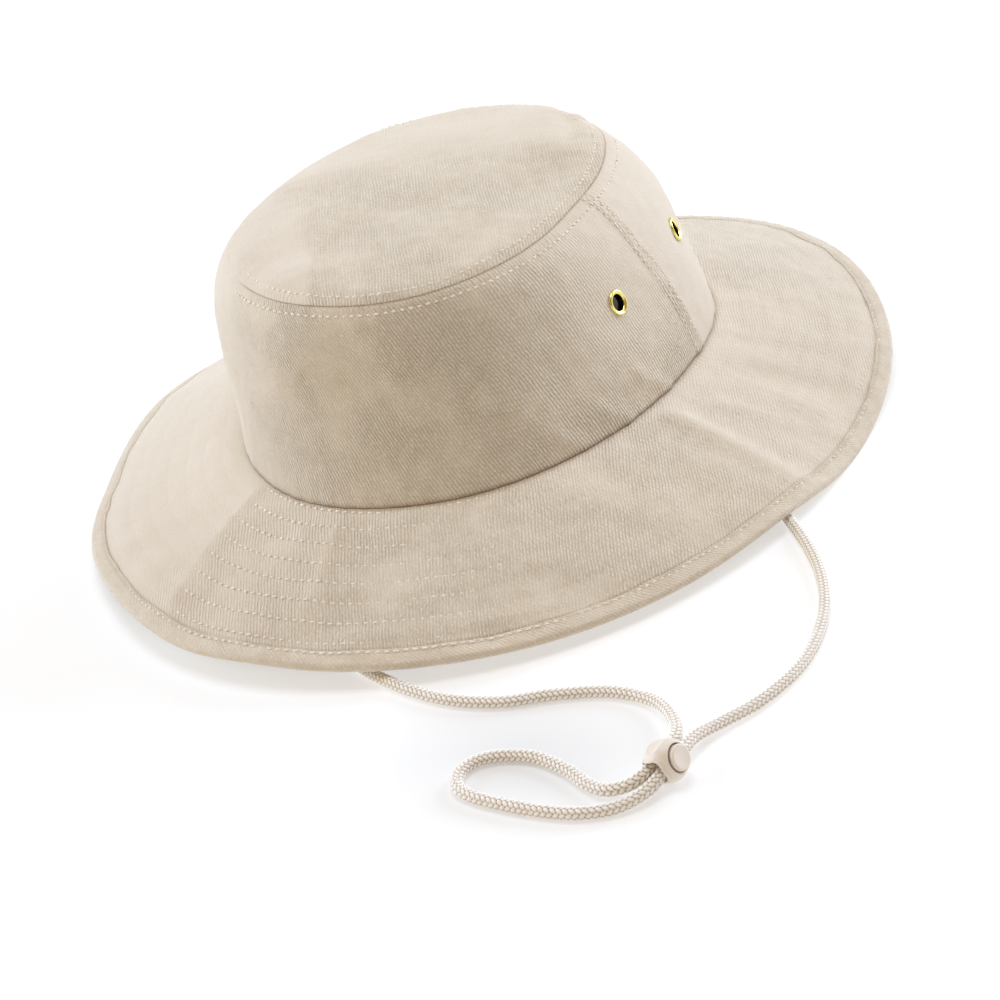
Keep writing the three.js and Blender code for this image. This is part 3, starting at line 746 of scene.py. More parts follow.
BRIM_ROWS = {"top": 96, "under": 30}
BRIM_SPAN = {"radius": 125, "width": 66}
QUILT = {"sink": 0.08, "width": 0.8, "puff": 0.06}
ROWS = {"first": 1.5, "edge_room": 9.5, "count": 8, "spacing": 7.86, "puckers": 290}
EDGE = {"width": 6.6, "radius": 1.6, "fall": 0.9, "from": 12}


def brim_middle(angle, reach):
    """Middle layer of the brim. reach runs from 0 at the crown to 1 at the edge."""
    angle, reach = np.broadcast_arrays(np.asarray(angle, float), np.asarray(reach, float))
    wave = sum(row["lift"] * bell(turn(angle, row["angle"]), row["spread"]) for row in BRIM_WAVES)
    start = HEAD["height"] - BRIM_CLOTH / 2
    fall = (section(angle, "drop") - BRIM_CLOTH / 2) * np.maximum(reach, 0) ** 1.15
    out = section(angle, "base") + section(angle, "width") * reach
    return oval_point(angle, HEAD, out, start - fall + wave * reach**2)


def brim_length(angle):
    return np.hypot(section(angle, "width"), section(angle, "drop"))


def brim_place(angle, inset, height):
    """A point by its distance in from the brim's edge and its height over the middle layer"""
    reach = 1 - inset / brim_length(angle)
    up = -standing(brim_middle, angle, np.maximum(reach, 0.03))
    return brim_middle(angle, reach) + up * np.asarray(height)[..., None], up


def row_spacing(angle):
    return (brim_length(angle) - ROWS["first"] - ROWS["edge_room"]) / (ROWS["count"] - 1)


def row_number(angle, from_seam):
    """Which stitched row a place is at, in whole numbers on the rows and parts between them"""
    return (from_seam - ROWS["first"]) / row_spacing(angle)


def brim_ridges(angle, share):
    return folds(BRIM_FOLDS, angle, share, BRIM_SPAN["radius"], BRIM_SPAN["width"])


def brim_sag(point):
    """Wide unevenness that the brim and its binding share"""
    return 0.35 * ripples(point, size=30, seed=21)


def edge_fall(inset):
    """How far the brim thins towards its bound edge"""
    near = np.clip(1 - (inset - EDGE["radius"]) / EDGE["from"], 0, 1)
    return EDGE["fall"] * near * near * (3 - 2 * near)


def rough_side(angle):
    """Share of the cloth's roughness that shows. The nap hides it on the right, where the cloth is also
    painted lighter, partly as painted light.
    """
    past = 0.55 * np.clip(turn(angle, 249) / 7, 0, 1) + 0.45 * np.clip(turn(angle, 266) / 14, 0, 1)
    before = np.clip(-turn(angle, 175) / 30, 0, 1)
    return 0.08 + 0.92 * np.where(abs(turn(angle, 207)) < 90, np.maximum(past, before), 1)


def row_shown(angle, share):
    """How well the brim's rows of stitches show: best beside the long fold at the right front"""
    return np.clip(turn(angle, 251.5 + 7 * share) / 2, 0, 1) * bell(turn(angle, 266), 18)


def brim_relief(angle, inset):
    """Quilting, folds and unevenness of the brim's upper face, and its marks"""
    length = brim_length(angle)
    from_seam = length - inset
    row = np.clip(row_number(angle, from_seam), 0, ROWS["count"] - 1)
    off = (row_number(angle, from_seam) - np.round(row)) * ROWS["spacing"]
    point = brim_middle(angle, 1 - inset / length)
    quilt = -QUILT["sink"] * bell(off, QUILT["width"]) + QUILT["puff"] * np.sin(math.pi * row) ** 2
    share = from_seam / length
    fold = brim_ridges(angle, share)
    rough = rough_side(angle)
    small = 0.09 * ripples(point, size=11, seed=22) + 0.05 * ripples(point, size=5, seed=23)
    uneven = brim_sag(point) + small * rough
    calm = np.clip(from_seam / 6, 0, 1)
    # Painted shade at the crown seam, at the binding's edge and faintly along the rows that show
    furrow_shade = 0.5 * bell(from_seam, 1.0) + 0.5 * bell(inset - EDGE["width"], 0.6)
    furrow_shade = furrow_shade + 0.08 * bell(off, 0.8) * row_shown(angle, share)
    pull = bell(off, 1.2) * np.clip(0.5 + 0.4 * ripples(point, size=26, seed=24), 0, 1) * rough
    # The back edge, the left, the smooth right side and the fold crests get the lighter nap paint: partly
    # nap, partly painted light, a painted highlight on the crests
    back = bell(turn(angle, 50), 36) * bell(share - 1, 0.65)
    left = 0.68 * bell(turn(angle, 8), 34)
    crest = np.clip(fold / 1.3, 0, 1)
    nap_and_light = np.maximum(np.maximum(1 - rough, 0.8 * back), np.maximum(left, 0.75 * crest))
    return quilt + (fold + uneven) * calm, {"furrow_shade": furrow_shade, "pull": pull, "nap_and_light": nap_and_light}


def brim_top(angle, inset):
    relief, marks = brim_relief(angle, inset)
    point, up = brim_place(angle, inset, BRIM_CLOTH / 2 - edge_fall(inset) + relief)
    return point, up, marks


def under_fall(inset):
    return -BRIM_CLOTH / 2 - 0.55 * edge_fall(inset)


angles = np.linspace(0, 360, BRIM_COLUMNS + 1)[:, None]
length = brim_length(angles)
share = np.linspace(0, 1, BRIM_ROWS["top"])[None]
insets = EDGE["radius"] + (length - EDGE["radius"]) * share
top, up, marks = brim_top(angles, insets)
seam_end = section(angles, "base")
top[:, -1:] = oval_point(angles, HEAD, seam_end, HEAD["height"])
share = np.linspace(1, 0, BRIM_ROWS["under"])[None]
insets_under = EDGE["radius"] + (length - EDGE["radius"]) * share
under = brim_place(angles, insets_under, under_fall(insets_under))[0]
under[:, :1] = oval_point(angles, HEAD, seam_end, HEAD["height"] - BRIM_CLOTH)
rims = [oval_point(angles, HEAD, seam_end - CROWN_CLOTH, HEAD["height"] - drop)
        for drop in (GAP, BRIM_CLOTH - GAP)]
loops = np.concatenate([top, *rims, under], 1)
insets_all = np.concatenate([insets, length, length, insets_under], 1)
plain = np.zeros((len(angles), BRIM_ROWS["under"] + len(rims)))
marks = {key: np.concatenate([values, plain], 1) for key, values in marks.items()}
counts = np.stack([angles / 360 * ROWS["puckers"] + 0 * insets_all, 0 * insets_all], -1)
brim_finish = twill_finish("twill_brim", 117, 0.85)
brim = cloth_piece(
    "quilted_brim", loops[:-1], brim_finish, True, {"cloth": loops[..., :2], "rows": counts}, marks)
finished(brim, "cotton_twill", "brim")


# Edge binding.
# A strip of the same twill is folded over the brim's edge and stitched down close to its folded
# edges, which leaves a thin dark line between the strip and the brim: a real gap with painted shade along it.
angles = np.linspace(0, 360, 721)[:, None]
radius = EDGE["radius"]
middle_drop = -BRIM_CLOTH / 2 - GAP - 1 + radius
waver = 0.18 * ripples(brim_middle(angles, 1.0), size=16, seed=31)
turned = np.linspace(90, -90, 13)[None]
nose_inset = radius - radius * np.cos(np.radians(turned))
nose_height = middle_drop + radius * np.sin(np.radians(turned))
strip = np.array([0, 0.12, 0.4, 0.9, 1.5, 2.2, 3.2, 4.2])[None]
over_inset = EDGE["width"] + waver - strip
over_fall = rounded(strip, 0.45) + 0.12 * bell(strip - 1.2, 0.6)
over_height = middle_drop + radius - over_fall
inner_high = middle_drop + radius - 0.75
inner_low = middle_drop - radius + 0.7
insets = np.concatenate([
    over_inset, nose_inset + 0 * angles, over_inset[:, ::-1] + 0.5, over_inset[:, :1] + 0.4,
    radius + 0.2 + 0 * angles, radius + 0.2 + 0 * angles, over_inset[:, :1] - 0.15], 1)
heights = np.concatenate([
    over_height, nose_height, (2 * middle_drop - over_height)[:, ::-1],
    [[inner_low + 0.05, inner_low, inner_high, inner_high - 0.05]]], 1) + 0 * insets
spots = brim_middle(angles, 1 - insets / brim_length(angles))
side = np.sign(heights - middle_drop)
shared = brim_sag(spots) + brim_ridges(angles, 1 - insets / brim_length(angles))
own = (0.12 * ripples(spots, size=7, seed=32) + 0.05 * ripples(spots, size=3.5, seed=33)) * rough_side(angles)
outer = np.abs(heights - middle_drop) > 0.8
heights += np.where(side > 0, shared, 0) * np.clip(insets / EDGE["width"], 0, 1) + own * outer * side
loops = brim_place(angles, insets, heights)[0]
loops[..., 2] = np.maximum(loops[..., 2], 0)
round_way = np.radians(angles) * 160 + 0 * insets
around = np.cumsum(np.linalg.norm(np.diff(loops, axis=1, prepend=loops[:, :1]), axis=-1), 1)
# Painted shade along the binding's inner edge, beside its fold
dark = 0.25 * bell(insets - EDGE["width"] + 1.2, 0.5) * (side > 0)
binding_finish = twill_finish("twill_binding", 45, 0.3)
binding = cloth_piece(
    "edge_binding", loops[:-1], binding_finish, True,
    {"cloth": np.stack([round_way, around], -1)}, {"furrow_shade": dark})
finished(binding, "cotton_twill", "brim_binding")


# Stitches.
# Lockstitches in cotton thread a little lighter than the cloth, each pulled down into it at both
# ends. They run along both sides of the crown's seams, along the brim's rows and the binding.
THREAD_PAINT = {"shade": paint(238, 228, 212), "light": paint(255, 251, 243)}
thread, thread_inputs, start = new_finish("thread", 0.75, Sheen_Weight=0.2, Specular_IOR_Level=0.3)
spot = start.spot()
ply = start.noise(spot, 2600.0, 2.0)
start.join(start.mix(ply, THREAD_PAINT["shade"], THREAD_PAINT["light"]), thread_inputs["Base Color"])
start.bump(thread_inputs, 0.6, 0.0001, ply)


def stitch_tree():
    """Geometry nodes that lay one stitch at each step along the edges of a mesh"""
    tree = bpy.data.node_groups.new("stitch_rows", "GeometryNodeTree")
    tree.interface.new_socket("Stitches", in_out="OUTPUT", socket_type="NodeSocketGeometry")
    for name, kind in (("Rows", "Geometry"), ("Spacing", "Float"), ("Length", "Float"), ("Width", "Float"),
                       ("Seed", "Int"), ("Thread", "Material")):
        tree.interface.new_socket(name, in_out="INPUT", socket_type="NodeSocket" + kind)
    start = Socket(tree)
    rows = start.node("NodeGroupInput")
    spacing, length, width, seed, finish = (rows.other(k) for k in range(1, 6))
    line = start.node("GeometryNodeMeshToCurve", None, {"Mesh": rows})
    steps = start.node("GeometryNodeResampleCurve", {"mode": "LENGTH"}, {"Curve": line, "Length": spacing})
    up = start.node("GeometryNodeInputNamedAttribute", {"data_type": "FLOAT_VECTOR"}, {"Name": "up"})
    tangent = start.node("GeometryNodeInputTangent")
    along = start.node("FunctionNodeAlignRotationToVector", {"axis": "X"}, {"Vector": tangent})
    stood = start.node("FunctionNodeAlignRotationToVector", {"axis": "Z", "pivot_axis": "X"},
                       {"Rotation": along, "Vector": up})
    any_number = "FunctionNodeRandomValue"
    sway = start.node(any_number, {"data_type": "FLOAT"}, {2: -0.13, 3: 0.13, "Seed": seed}, 1)
    twist = start.node("ShaderNodeCombineXYZ", None, {"Z": sway})
    laid = start.node("FunctionNodeRotateRotation", {"rotation_space": "LOCAL"},
                      {"Rotation": stood, "Rotate By": twist})
    size = start.node("ShaderNodeCombineXYZ", None, {"X": length, "Y": width, "Z": width})
    other = start.node(any_number, {"data_type": "FLOAT"}, {2: 0.8, 3: 1.1, "Seed": seed + 1}, 1)
    sized = start.node("ShaderNodeVectorMath", {"operation": "SCALE"}, {0: size, "Scale": other})
    bead = start.node("GeometryNodeMeshUVSphere", None, {"Segments": 6, "Rings": 5, "Radius": 0.5})
    placed = start.node("GeometryNodeInstanceOnPoints", None,
                        {"Points": steps, "Instance": bead, "Rotation": laid, "Scale": sized})
    real = start.node("GeometryNodeRealizeInstances", None, {"Geometry": placed})
    soft = start.node("GeometryNodeSetShadeSmooth", None, {"Geometry": real})
    dressed = start.node("GeometryNodeSetMaterial", None, {"Geometry": soft, "Material": finish})
    end = tree.nodes.new("NodeGroupOutput")
    tree.links.new(dressed.socket, end.inputs[0])
    return tree


STITCHES = stitch_tree()


def sew(name, rows, spacing, length, width, seed):
    """Stitches along rows of points, given as (points, up directions, closed) in millimetres"""
    points, ups, edges = [], [], []
    for line, up, closed in rows:
        first, count = len(points), len(line)
        points.extend(((line + CENTRE) / 1000).tolist())
        ups.append(up)
        edges.extend((first + k, first + (k + 1) % count) for k in range(count if closed else count - 1))
    mesh = bpy.data.meshes.new(name)
    mesh.from_pydata(points, edges, [])
    mesh.attributes.new("up", "FLOAT_VECTOR", "POINT").data.foreach_set(
        "vector", np.concatenate(ups).astype(np.float32).ravel())
    piece = added(name, mesh)
    modifier = piece.modifiers.new("stitches", "NODES")
    modifier.node_group = STITCHES
    values = {"Spacing": spacing / 1000, "Length": length / 1000, "Width": width / 1000,
              "Seed": seed, "Thread": thread}
    for item in STITCHES.interface.items_tree:
        if item.name in values:
            modifier[item.identifier] = values[item.name]
    applied(piece)
    return finished(piece, "cotton_twill")


STITCH = {"crown": 2.8, "crown_thread": 1.75, "brim": 2.95, "brim_thread": 1.9, "width": 0.84,
          "stand": 0.13, "sunk": -0.42}


def laid_stitches(point, up, shown):
    """Line of thread on the cloth, which sinks into the nap where little of it shows"""
    shown = np.clip(1.2 * shown + 0.3 * ripples(point, size=18, seed=25) * (shown > 0.02), 0, 1)
    stand = STITCH["sunk"] + (STITCH["stand"] - STITCH["sunk"]) * shown
    return point + up * stand[:, None]


def brim_row(number):
    """One quilting row on the brim's upper face"""
    angle = np.linspace(0, 360, 721)[:-1]
    from_seam = ROWS["first"] + row_spacing(angle) * number
    inset = brim_length(angle) - from_seam
    point, up = brim_top(angle, inset)[:2]
    return laid_stitches(point, up, row_shown(angle, from_seam / brim_length(angle))), up, True


def under_row(number):
    """The same row seen from below"""
    angle = np.linspace(0, 360, 361)[:-1]
    inset = brim_length(angle) - ROWS["first"] - row_spacing(angle) * number
    point, up = brim_place(angle, inset, under_fall(inset) - STITCH["stand"])
    return point, -up, True


sew("brim_stitches", [brim_row(k) for k in range(ROWS["count"])],
    STITCH["brim"], STITCH["brim_thread"], STITCH["width"], 7)
sew("brim_stitches_under", [under_row(k) for k in range(ROWS["count"])],
    STITCH["brim"], STITCH["brim_thread"], STITCH["width"], 8)

angle = np.linspace(0, 360, 721)[:-1]
inset = EDGE["width"] - 1.2 + waver[:-1, 0]
share = 1 - inset / brim_length(angle)
height = brim_sag(brim_middle(angle, share)) + brim_ridges(angle, share) - 0.05
height = height * inset / EDGE["width"] + middle_drop + radius - 0.05
point, up = brim_place(angle, inset, height)
point = laid_stitches(point, up, 0.8 * np.clip(turn(angle, 240) / 20, 0, 1) * bell(turn(angle, 290), 45))
sew("binding_stitches", [(point, up, True)], STITCH["brim"], STITCH["brim_thread"], STITCH["width"], 9)

line, way, away = tip_top(angle, seam_at - TOPSTITCH["away"] + 0 * angle)
shown = 0.9 - hidden_seam(angle) - 0.6 * bell(turn(angle, 80), 60)
rows = [(laid_stitches(line, way, shown), way, True)]
height = 1 - (SHOULDER["gap"] / 2 - SHOULDER["seam"] + TOPSTITCH["away"]) / TIP["height"] + 0 * angle
line, way, marks = wall_out(angle, height)
rows.append((laid_stitches(line, way, shown), way, True))
for seam, front_side in ((side_seam, -1), (lambda height: 180 - side_seam(height), 1)):
    for away in SEAM_FOLD["stitches"]:
        height = np.linspace(0.03, 1, 124)
        at = seam(height) + front_side * math.degrees(away / WALL_RADIUS)
        line, way, marks = wall_out(at, height)
        rows.append((laid_stitches(line, way, 0.6 + 0 * height), way, False))
sew("crown_stitches", rows, STITCH["crown"], STITCH["crown_thread"], STITCH["width"], 10)


# Cord tabs.
# A small folded tab of twill is caught in each side seam inside the crown and holds one end of the
# cord. Each is a flat piece with rounded lower corners.
TAB = {"width": 9, "length": 12, "thickness": 2, "clearance": 0.5}


def cord_tab(name, node, angle):
    def rim(at):
        out = section(at, "base") - CROWN_CLOTH
        return oval_point(np.array(float(at)), HEAD, out, HEAD["height"] - GAP / 2)

    along = rim(angle + 3) - rim(angle - 3)
    along /= np.linalg.norm(along)
    out = np.cross(along, [0, 0, 1])
    middle = rim(angle) - out * (TAB["clearance"] + TAB["thickness"] / 2)
    edit = bmesh.new()
    bmesh.ops.create_cube(edit, size=1)
    bmesh.ops.subdivide_edges(edit, edges=edit.edges, cuts=5, use_grid_fill=True)
    for vert in edit.verts:
        x, y, z = vert.co
        low = max(0.0, 0.25 - (z + 0.5)) / 0.25
        x *= 1 - 0.28 * low**2
        y *= 0.78 + 0.22 * min(1.0, 4 * (0.5 - abs(x)))
        spot = middle + along * x * TAB["width"] + out * y * TAB["thickness"]
        spot[2] += (z - 0.5) * TAB["length"]
        vert.co = (spot + CENTRE) / 1000
    bmesh.ops.recalc_face_normals(edit, faces=edit.faces)
    mesh = mesh_of(name, edit)
    layer = mesh.uv_layers.new(name="cloth")
    for loop in mesh.loops:
        spot = np.array(mesh.vertices[loop.vertex_index].co) * 1000
        layer.data[loop.index].uv = (float(spot @ along), spot[2])
    mesh.attributes.new("furrow_shade", "FLOAT", "POINT")
    mesh.shade_smooth()
    mesh.materials.append(wall_finish)
    finished(added(name, mesh), "cotton_twill", node)


cord_tab("tab_left", "cord_tab_left", SIDE_SEAM["low"])
cord_tab("tab_right", "cord_tab_right", 180 - SIDE_SEAM["low"])


# Chin cord.
# One loose round braid of cotton, cream, with painted shade in its crevices. It comes down from the
# left tab, lies on the floor, passes through the toggle, turns in a small loop and goes back under the brim.
CORD = {"diameter": 3.9, "columns": 8, "sides": 36, "pitch": 1.8, "steps": 6, "relief": 0.36}
STRAND = {"slant": 38, "half_length": 1.15, "half_width": 0.62}
on_floor = CORD["diameter"] / 2 + 0.05

# Route from the left tab to the right one
CORD_ROUTE = [
    (78.4, 18.8, 16.3), (78.8, 18.3, 9.4), (80.9, 15.8, 4.8), (86, 9.5, 2.6), (98, -5, 2.1),
    (147, -62.5, on_floor), (161, -86, on_floor), (168.6, -108, on_floor), (170.4, -132, on_floor),
    (165.4, -152.5, 2.1), (158.9, -166, 2.7), (155.6, -176, 4.3), (154.8, -186, 4.9), (153.9, -195, 4.9),
    (151.9, -202.6, 3.4), (146.4, -209.6, 2.1), (134.5, -215.6, on_floor), (103.4, -214.8, on_floor),
    (96.9, -211.2, on_floor), (94.6, -204.4, on_floor), (98, -197.4, on_floor), (111, -193, on_floor),
    (125, -197, on_floor), (133.4, -201.8, 2.1), (140.4, -204.1, 2.9), (146.4, -202.3, 4.2),
    (149.9, -195.6, 5.3), (150.8, -187, 5.5), (150.6, -178, 5.4), (143.5, -166.4, 4), (134, -158.8, 2.5),
    (120, -156.9, on_floor), (104, -162, on_floor), (88, -169.6, on_floor), (64, -170.4, on_floor),
    (20, -149.5, 2.1), (-66, -24, 2.15), (-77, 3.6, 2.7), (-80.9, 15.8, 7), (-81.5, 19, 16),
]


def smooth_route(points, each):
    """Centripetal curve through the points, with a number of steps between each two"""
    points = [2 * points[0] - points[1], *points, 2 * points[-1] - points[-2]]
    found = []
    for a, b, c, d in zip(points, points[1:], points[2:], points[3:]):
        gaps = [np.linalg.norm(q - p) ** 0.5 for p, q in ((a, b), (b, c), (c, d))]
        slope_b = (b - a) / gaps[0] - (c - a) / (gaps[0] + gaps[1]) + (c - b) / gaps[1]
        slope_c = (c - b) / gaps[1] - (d - b) / (gaps[1] + gaps[2]) + (d - c) / gaps[2]
        slope_b, slope_c = slope_b * gaps[1], slope_c * gaps[1]
        t = np.linspace(0, 1, each, endpoint=False)[:, None]
        cubic = (2 * t**3 - 3 * t**2 + 1) * b + (t**3 - 2 * t**2 + t) * slope_b
        found.append(cubic + (3 * t**2 - 2 * t**3) * c + (t**3 - t**2) * slope_c)
    return np.concatenate([*found, points[-2][None]])


route = smooth_route([np.array(spot) for spot in CORD_ROUTE], 200)
travelled = np.concatenate([[0], np.cumsum(np.linalg.norm(np.diff(route, axis=0), axis=1))])
ring_count = round(travelled[-1] / CORD["pitch"] * CORD["steps"])
along = np.linspace(0, travelled[-1], ring_count)
centres = np.stack([np.interp(along, travelled, route[:, k]) for k in range(3)], -1)
ways = np.gradient(centres, axis=0)
ways /= np.linalg.norm(ways, axis=1)[:, None]
sides = np.zeros_like(ways)
side = np.cross(ways[0], [1, 0, 0])
for k, way in enumerate(ways):
    side = side - way * (side @ way)
    side /= np.linalg.norm(side)
    sides[k] = side
tops = np.cross(ways, sides)
share = np.arange(CORD["sides"]) / CORD["sides"]
column = share * CORD["columns"]
column_width = math.pi * CORD["diameter"] / CORD["columns"]
strand = np.zeros((ring_count, CORD["sides"]))
for beside in (-1, 0, 1):
    home = np.floor(column) + beside
    lean = np.where(home % 2 == 0, 1, -1) * math.radians(STRAND["slant"])
    across = (column - home - 0.5) * column_width
    place = along[:, None] / CORD["pitch"] - (home % 2) / 2
    for step in (-1, 0, 1):
        away = (place - np.round(place) + step) * CORD["pitch"]
        long_way = (away * np.cos(lean) + across * np.sin(lean)) / STRAND["half_length"]
        short_way = (across * np.cos(lean) - away * np.sin(lean)) / STRAND["half_width"]
        strand = np.maximum(strand, 1 - long_way**2 - short_way**2)
strand = np.sqrt(strand)
wobble = 1 + 0.02 * ripples(centres, size=9, seed=41)[:, None]
radius = (CORD["diameter"] / 2 + 0.06 - CORD["relief"] * (1 - strand)) * wobble
turned = share * math.tau
spokes = sides[:, None] * np.cos(turned)[None, :, None] + tops[:, None] * np.sin(turned)[None, :, None]
surface = centres[:, None] + spokes * radius[..., None]
surface[..., 2] = np.maximum(surface[..., 2], 0.02)
points = (np.concatenate([surface.reshape(-1, 3), centres[[0, -1]]]) + CENTRE) / 1000
k, j = np.meshgrid(np.arange(ring_count - 1), np.arange(CORD["sides"]), indexing="ij")
after = (j + 1) % CORD["sides"]
row = k * CORD["sides"]
next_row = row + CORD["sides"]
quads = np.stack([row + j, row + after, next_row + after, next_row + j], -1).reshape(-1, 4)
last = (ring_count - 1) * CORD["sides"]
fans = [(len(points) - 2, (m + 1) % CORD["sides"], m) for m in range(CORD["sides"])]
fans += [(len(points) - 1, last + m, last + (m + 1) % CORD["sides"]) for m in range(CORD["sides"])]
mesh = bpy.data.meshes.new("braided_chin_cord")
mesh.from_pydata(points.tolist(), [], quads.tolist() + fans)
crevice_shade = mesh.attributes.new("crevice_shade", "FLOAT", "POINT")
crevice_shade.data.foreach_set("value", np.concatenate([1 - strand.ravel(), [0.5, 0.5]]).astype(np.float32))
mesh.shade_smooth()
# The crevices between strands are painted darker: painted shade
BRAID_PAINT = {"light": paint(255, 251, 245), "crevice_shade": paint(180, 158, 132)}
braid, braid_inputs, start = new_finish("cotton_braid", 0.85, Sheen_Weight=0.15, Specular_IOR_Level=0.2)
deep = start.mark("crevice_shade")
spot = start.spot()
fibre = start.noise(spot, 3200.0, 2.0)
patch = start.noise(spot, 160.0, 2.0)
amount = (deep * 1.3 - 0.36 + (fibre - 0.5) * 0.5 + (patch - 0.5) * 0.25).clamp()
start.join(start.mix(amount, BRAID_PAINT["light"], BRAID_PAINT["crevice_shade"]), braid_inputs["Base Color"])
start.bump(braid_inputs, 0.7, 0.00012, fibre)
mesh.materials.append(braid)
cord = finished(added("braided_chin_cord", mesh), "cord_braid", "chin_cord")


# Toggle.
# A moulded plastic ball slides on both strands of the cord and grips them. Its button stands out of
# a round socket on one side, against a hidden spring, and a groove runs over its top.
TOGGLE = {"x": 153.7, "y": -191.8, "z": 6.5, "radius": 6.4, "tilt": 24, "turn": -7, "face": 4.55,
          "first_grain": 0.15, "grain": 0.17}
FACE_CUT = {"radius": 20, "to": 30}
PAST_BALL = 12
SOCKET_HOLE = {"radius": 4.2, "floor": 3}
GROOVE = {"x": -0.3, "radius": 3.4, "depth": 1.7}
CHANNEL = {"x": -1.65, "z": -0.62, "half_width": 4.15, "half_height": 3.45, "corner": 2.3, "lip": 0.9,
           "proud": 0.35}
BUTTON = {"radius": 3.8, "from": 4.4, "to": 5.85, "edge": 0.5, "dish": 0.2}

toggle_spot = Vector((TOGGLE["x"], TOGGLE["y"], TOGGLE["z"])) + Vector(CENTRE)
toggle_place = (Matrix.Translation(toggle_spot / 1000)
                @ Matrix.Rotation(math.radians(TOGGLE["turn"]), 4, "Z")
                @ Matrix.Rotation(-math.radians(TOGGLE["tilt"]), 4, "Y"))
along_x = Matrix.Rotation(math.pi / 2, 4, "Y")
along_y = Matrix.Rotation(-math.pi / 2, 4, "X")


def ball(radius):
    steps = np.linspace(0, math.pi, 49)
    profile = [(radius * math.sin(t) if 0 < t < math.pi else 0, -radius * math.cos(t)) for t in steps]
    profile = [(0 if abs(r) < 1e-9 else r, z) for r, z in profile]
    return turned_mesh("ball", profile, 96, Matrix())


def channel_bar(wider):
    """Bar along Y with a rounded oblong section, of the channel's size or wider"""
    half_width, half_height = CHANNEL["half_width"] + wider, CHANNEL["half_height"] + wider
    corner = CHANNEL["corner"] + wider
    spots = []
    for quarter, (side_x, side_z) in enumerate(((1, 1), (-1, 1), (-1, -1), (1, -1))):
        for step in range(9):
            t = math.pi / 2 * (quarter + step / 8)
            x = side_x * (half_width - corner) + corner * math.cos(t)
            z = side_z * (half_height - corner) + corner * math.sin(t)
            spots.append((x + CHANNEL["x"], z + CHANNEL["z"]))
    edit = bmesh.new()
    ends = [[edit.verts.new(Vector((x, y, z)) / 1000) for x, z in spots] for y in (-PAST_BALL, PAST_BALL)]
    for k in range(len(spots)):
        after = (k + 1) % len(spots)
        edit.faces.new((ends[0][k], ends[0][after], ends[1][after], ends[1][k]))
    edit.faces.new(ends[0])
    edit.faces.new(ends[1])
    bmesh.ops.recalc_face_normals(edit, faces=edit.faces)
    return added("bar", mesh_of("bar", edit))


def rod(radius, low, high, place):
    return turned_mesh("rod", [(0, low), (radius, low), (radius, high), (0, high)], 96, place)


def evened(piece, grain):
    """Even mesh of one grain in millimetres over the whole shape, with its edges softened"""
    remesh = piece.modifiers.new("even", "REMESH")
    remesh.mode = "VOXEL"
    remesh.voxel_size = grain / 1000
    soften = piece.modifiers.new("soften", "SMOOTH")
    soften.iterations = 4
    soften.factor = 0.5
    return applied(piece)


collar = carve(channel_bar(CHANNEL["lip"]), ball(TOGGLE["radius"] + CHANNEL["proud"]), "INTERSECT")
body = carve(ball(TOGGLE["radius"]), rod(FACE_CUT["radius"], TOGGLE["face"], FACE_CUT["to"], along_x))
groove_up = TOGGLE["radius"] + GROOVE["radius"] - GROOVE["depth"]
groove_place = Matrix.Translation(Vector((GROOVE["x"], 0, groove_up)) / 1000) @ along_y
body = carve(body, rod(GROOVE["radius"], -PAST_BALL, PAST_BALL, groove_place))
body = evened(carve(body, collar, "UNION"), TOGGLE["first_grain"])
body = carve(body, rod(SOCKET_HOLE["radius"], SOCKET_HOLE["floor"], PAST_BALL, along_x))
body = carve(body, channel_bar(0))
body = evened(body, TOGGLE["grain"])
body.data.transform(toggle_place)
body.data.shade_smooth()
body.name = "toggle_ball"
PLASTIC_PAINT = {"light": paint(240, 231, 219), "cloudy": paint(232, 221, 207)}
plastic, plastic_inputs, start = new_finish("toggle_plastic", 0.4, Subsurface_Weight=0.08)
plastic_inputs["Subsurface Radius"].default_value = (0.002, 0.0014, 0.001)
spot = start.spot()
cloudy = start.noise(spot, 260.0, 3.0)
grain = start.noise(spot, 2400.0, 2.0)
start.join(start.mix(cloudy, PLASTIC_PAINT["light"], PLASTIC_PAINT["cloudy"]), plastic_inputs["Base Color"])
start.join(cloudy * 0.16 + 0.33, plastic_inputs["Roughness"])
start.bump(plastic_inputs, 0.25, 0.00008, grain)
body.data.materials.append(plastic)
finished(body, "toggle_plastic", "toggle_body")

top, edge, dish = BUTTON["to"], BUTTON["edge"], BUTTON["dish"]
bevel = [(BUTTON["radius"] - edge + edge * math.cos(t), top - edge + edge * math.sin(t))
         for t in np.linspace(0, math.pi / 2, 7)]
dished = [((BUTTON["radius"] - edge) * k, top - dish * (1 - k * k)) for k in (0.85, 0.6, 0.3, 0)]
button_profile = [(0, BUTTON["from"]), (BUTTON["radius"], BUTTON["from"]), *bevel, *dished]
button = turned_mesh("toggle_push_button", button_profile, 72, toggle_place @ along_x)
button.data.materials.append(plastic)
finished(button, "toggle_plastic", "toggle_button", body="button")


# Studio.
# A white floor that glows though it is no lamp, as a photographer's light table does. Its glow holds a
# painted shadow under the hat and in the cord's loop, and is brighter far off. There are four large soft
# lamps, pale walls and a warm ceiling. The camera has the photograph's angle.
FLOOR_GLOW = 0.53
FLOOR_REACH = 40
WHITE = (1, 1, 1, 1)
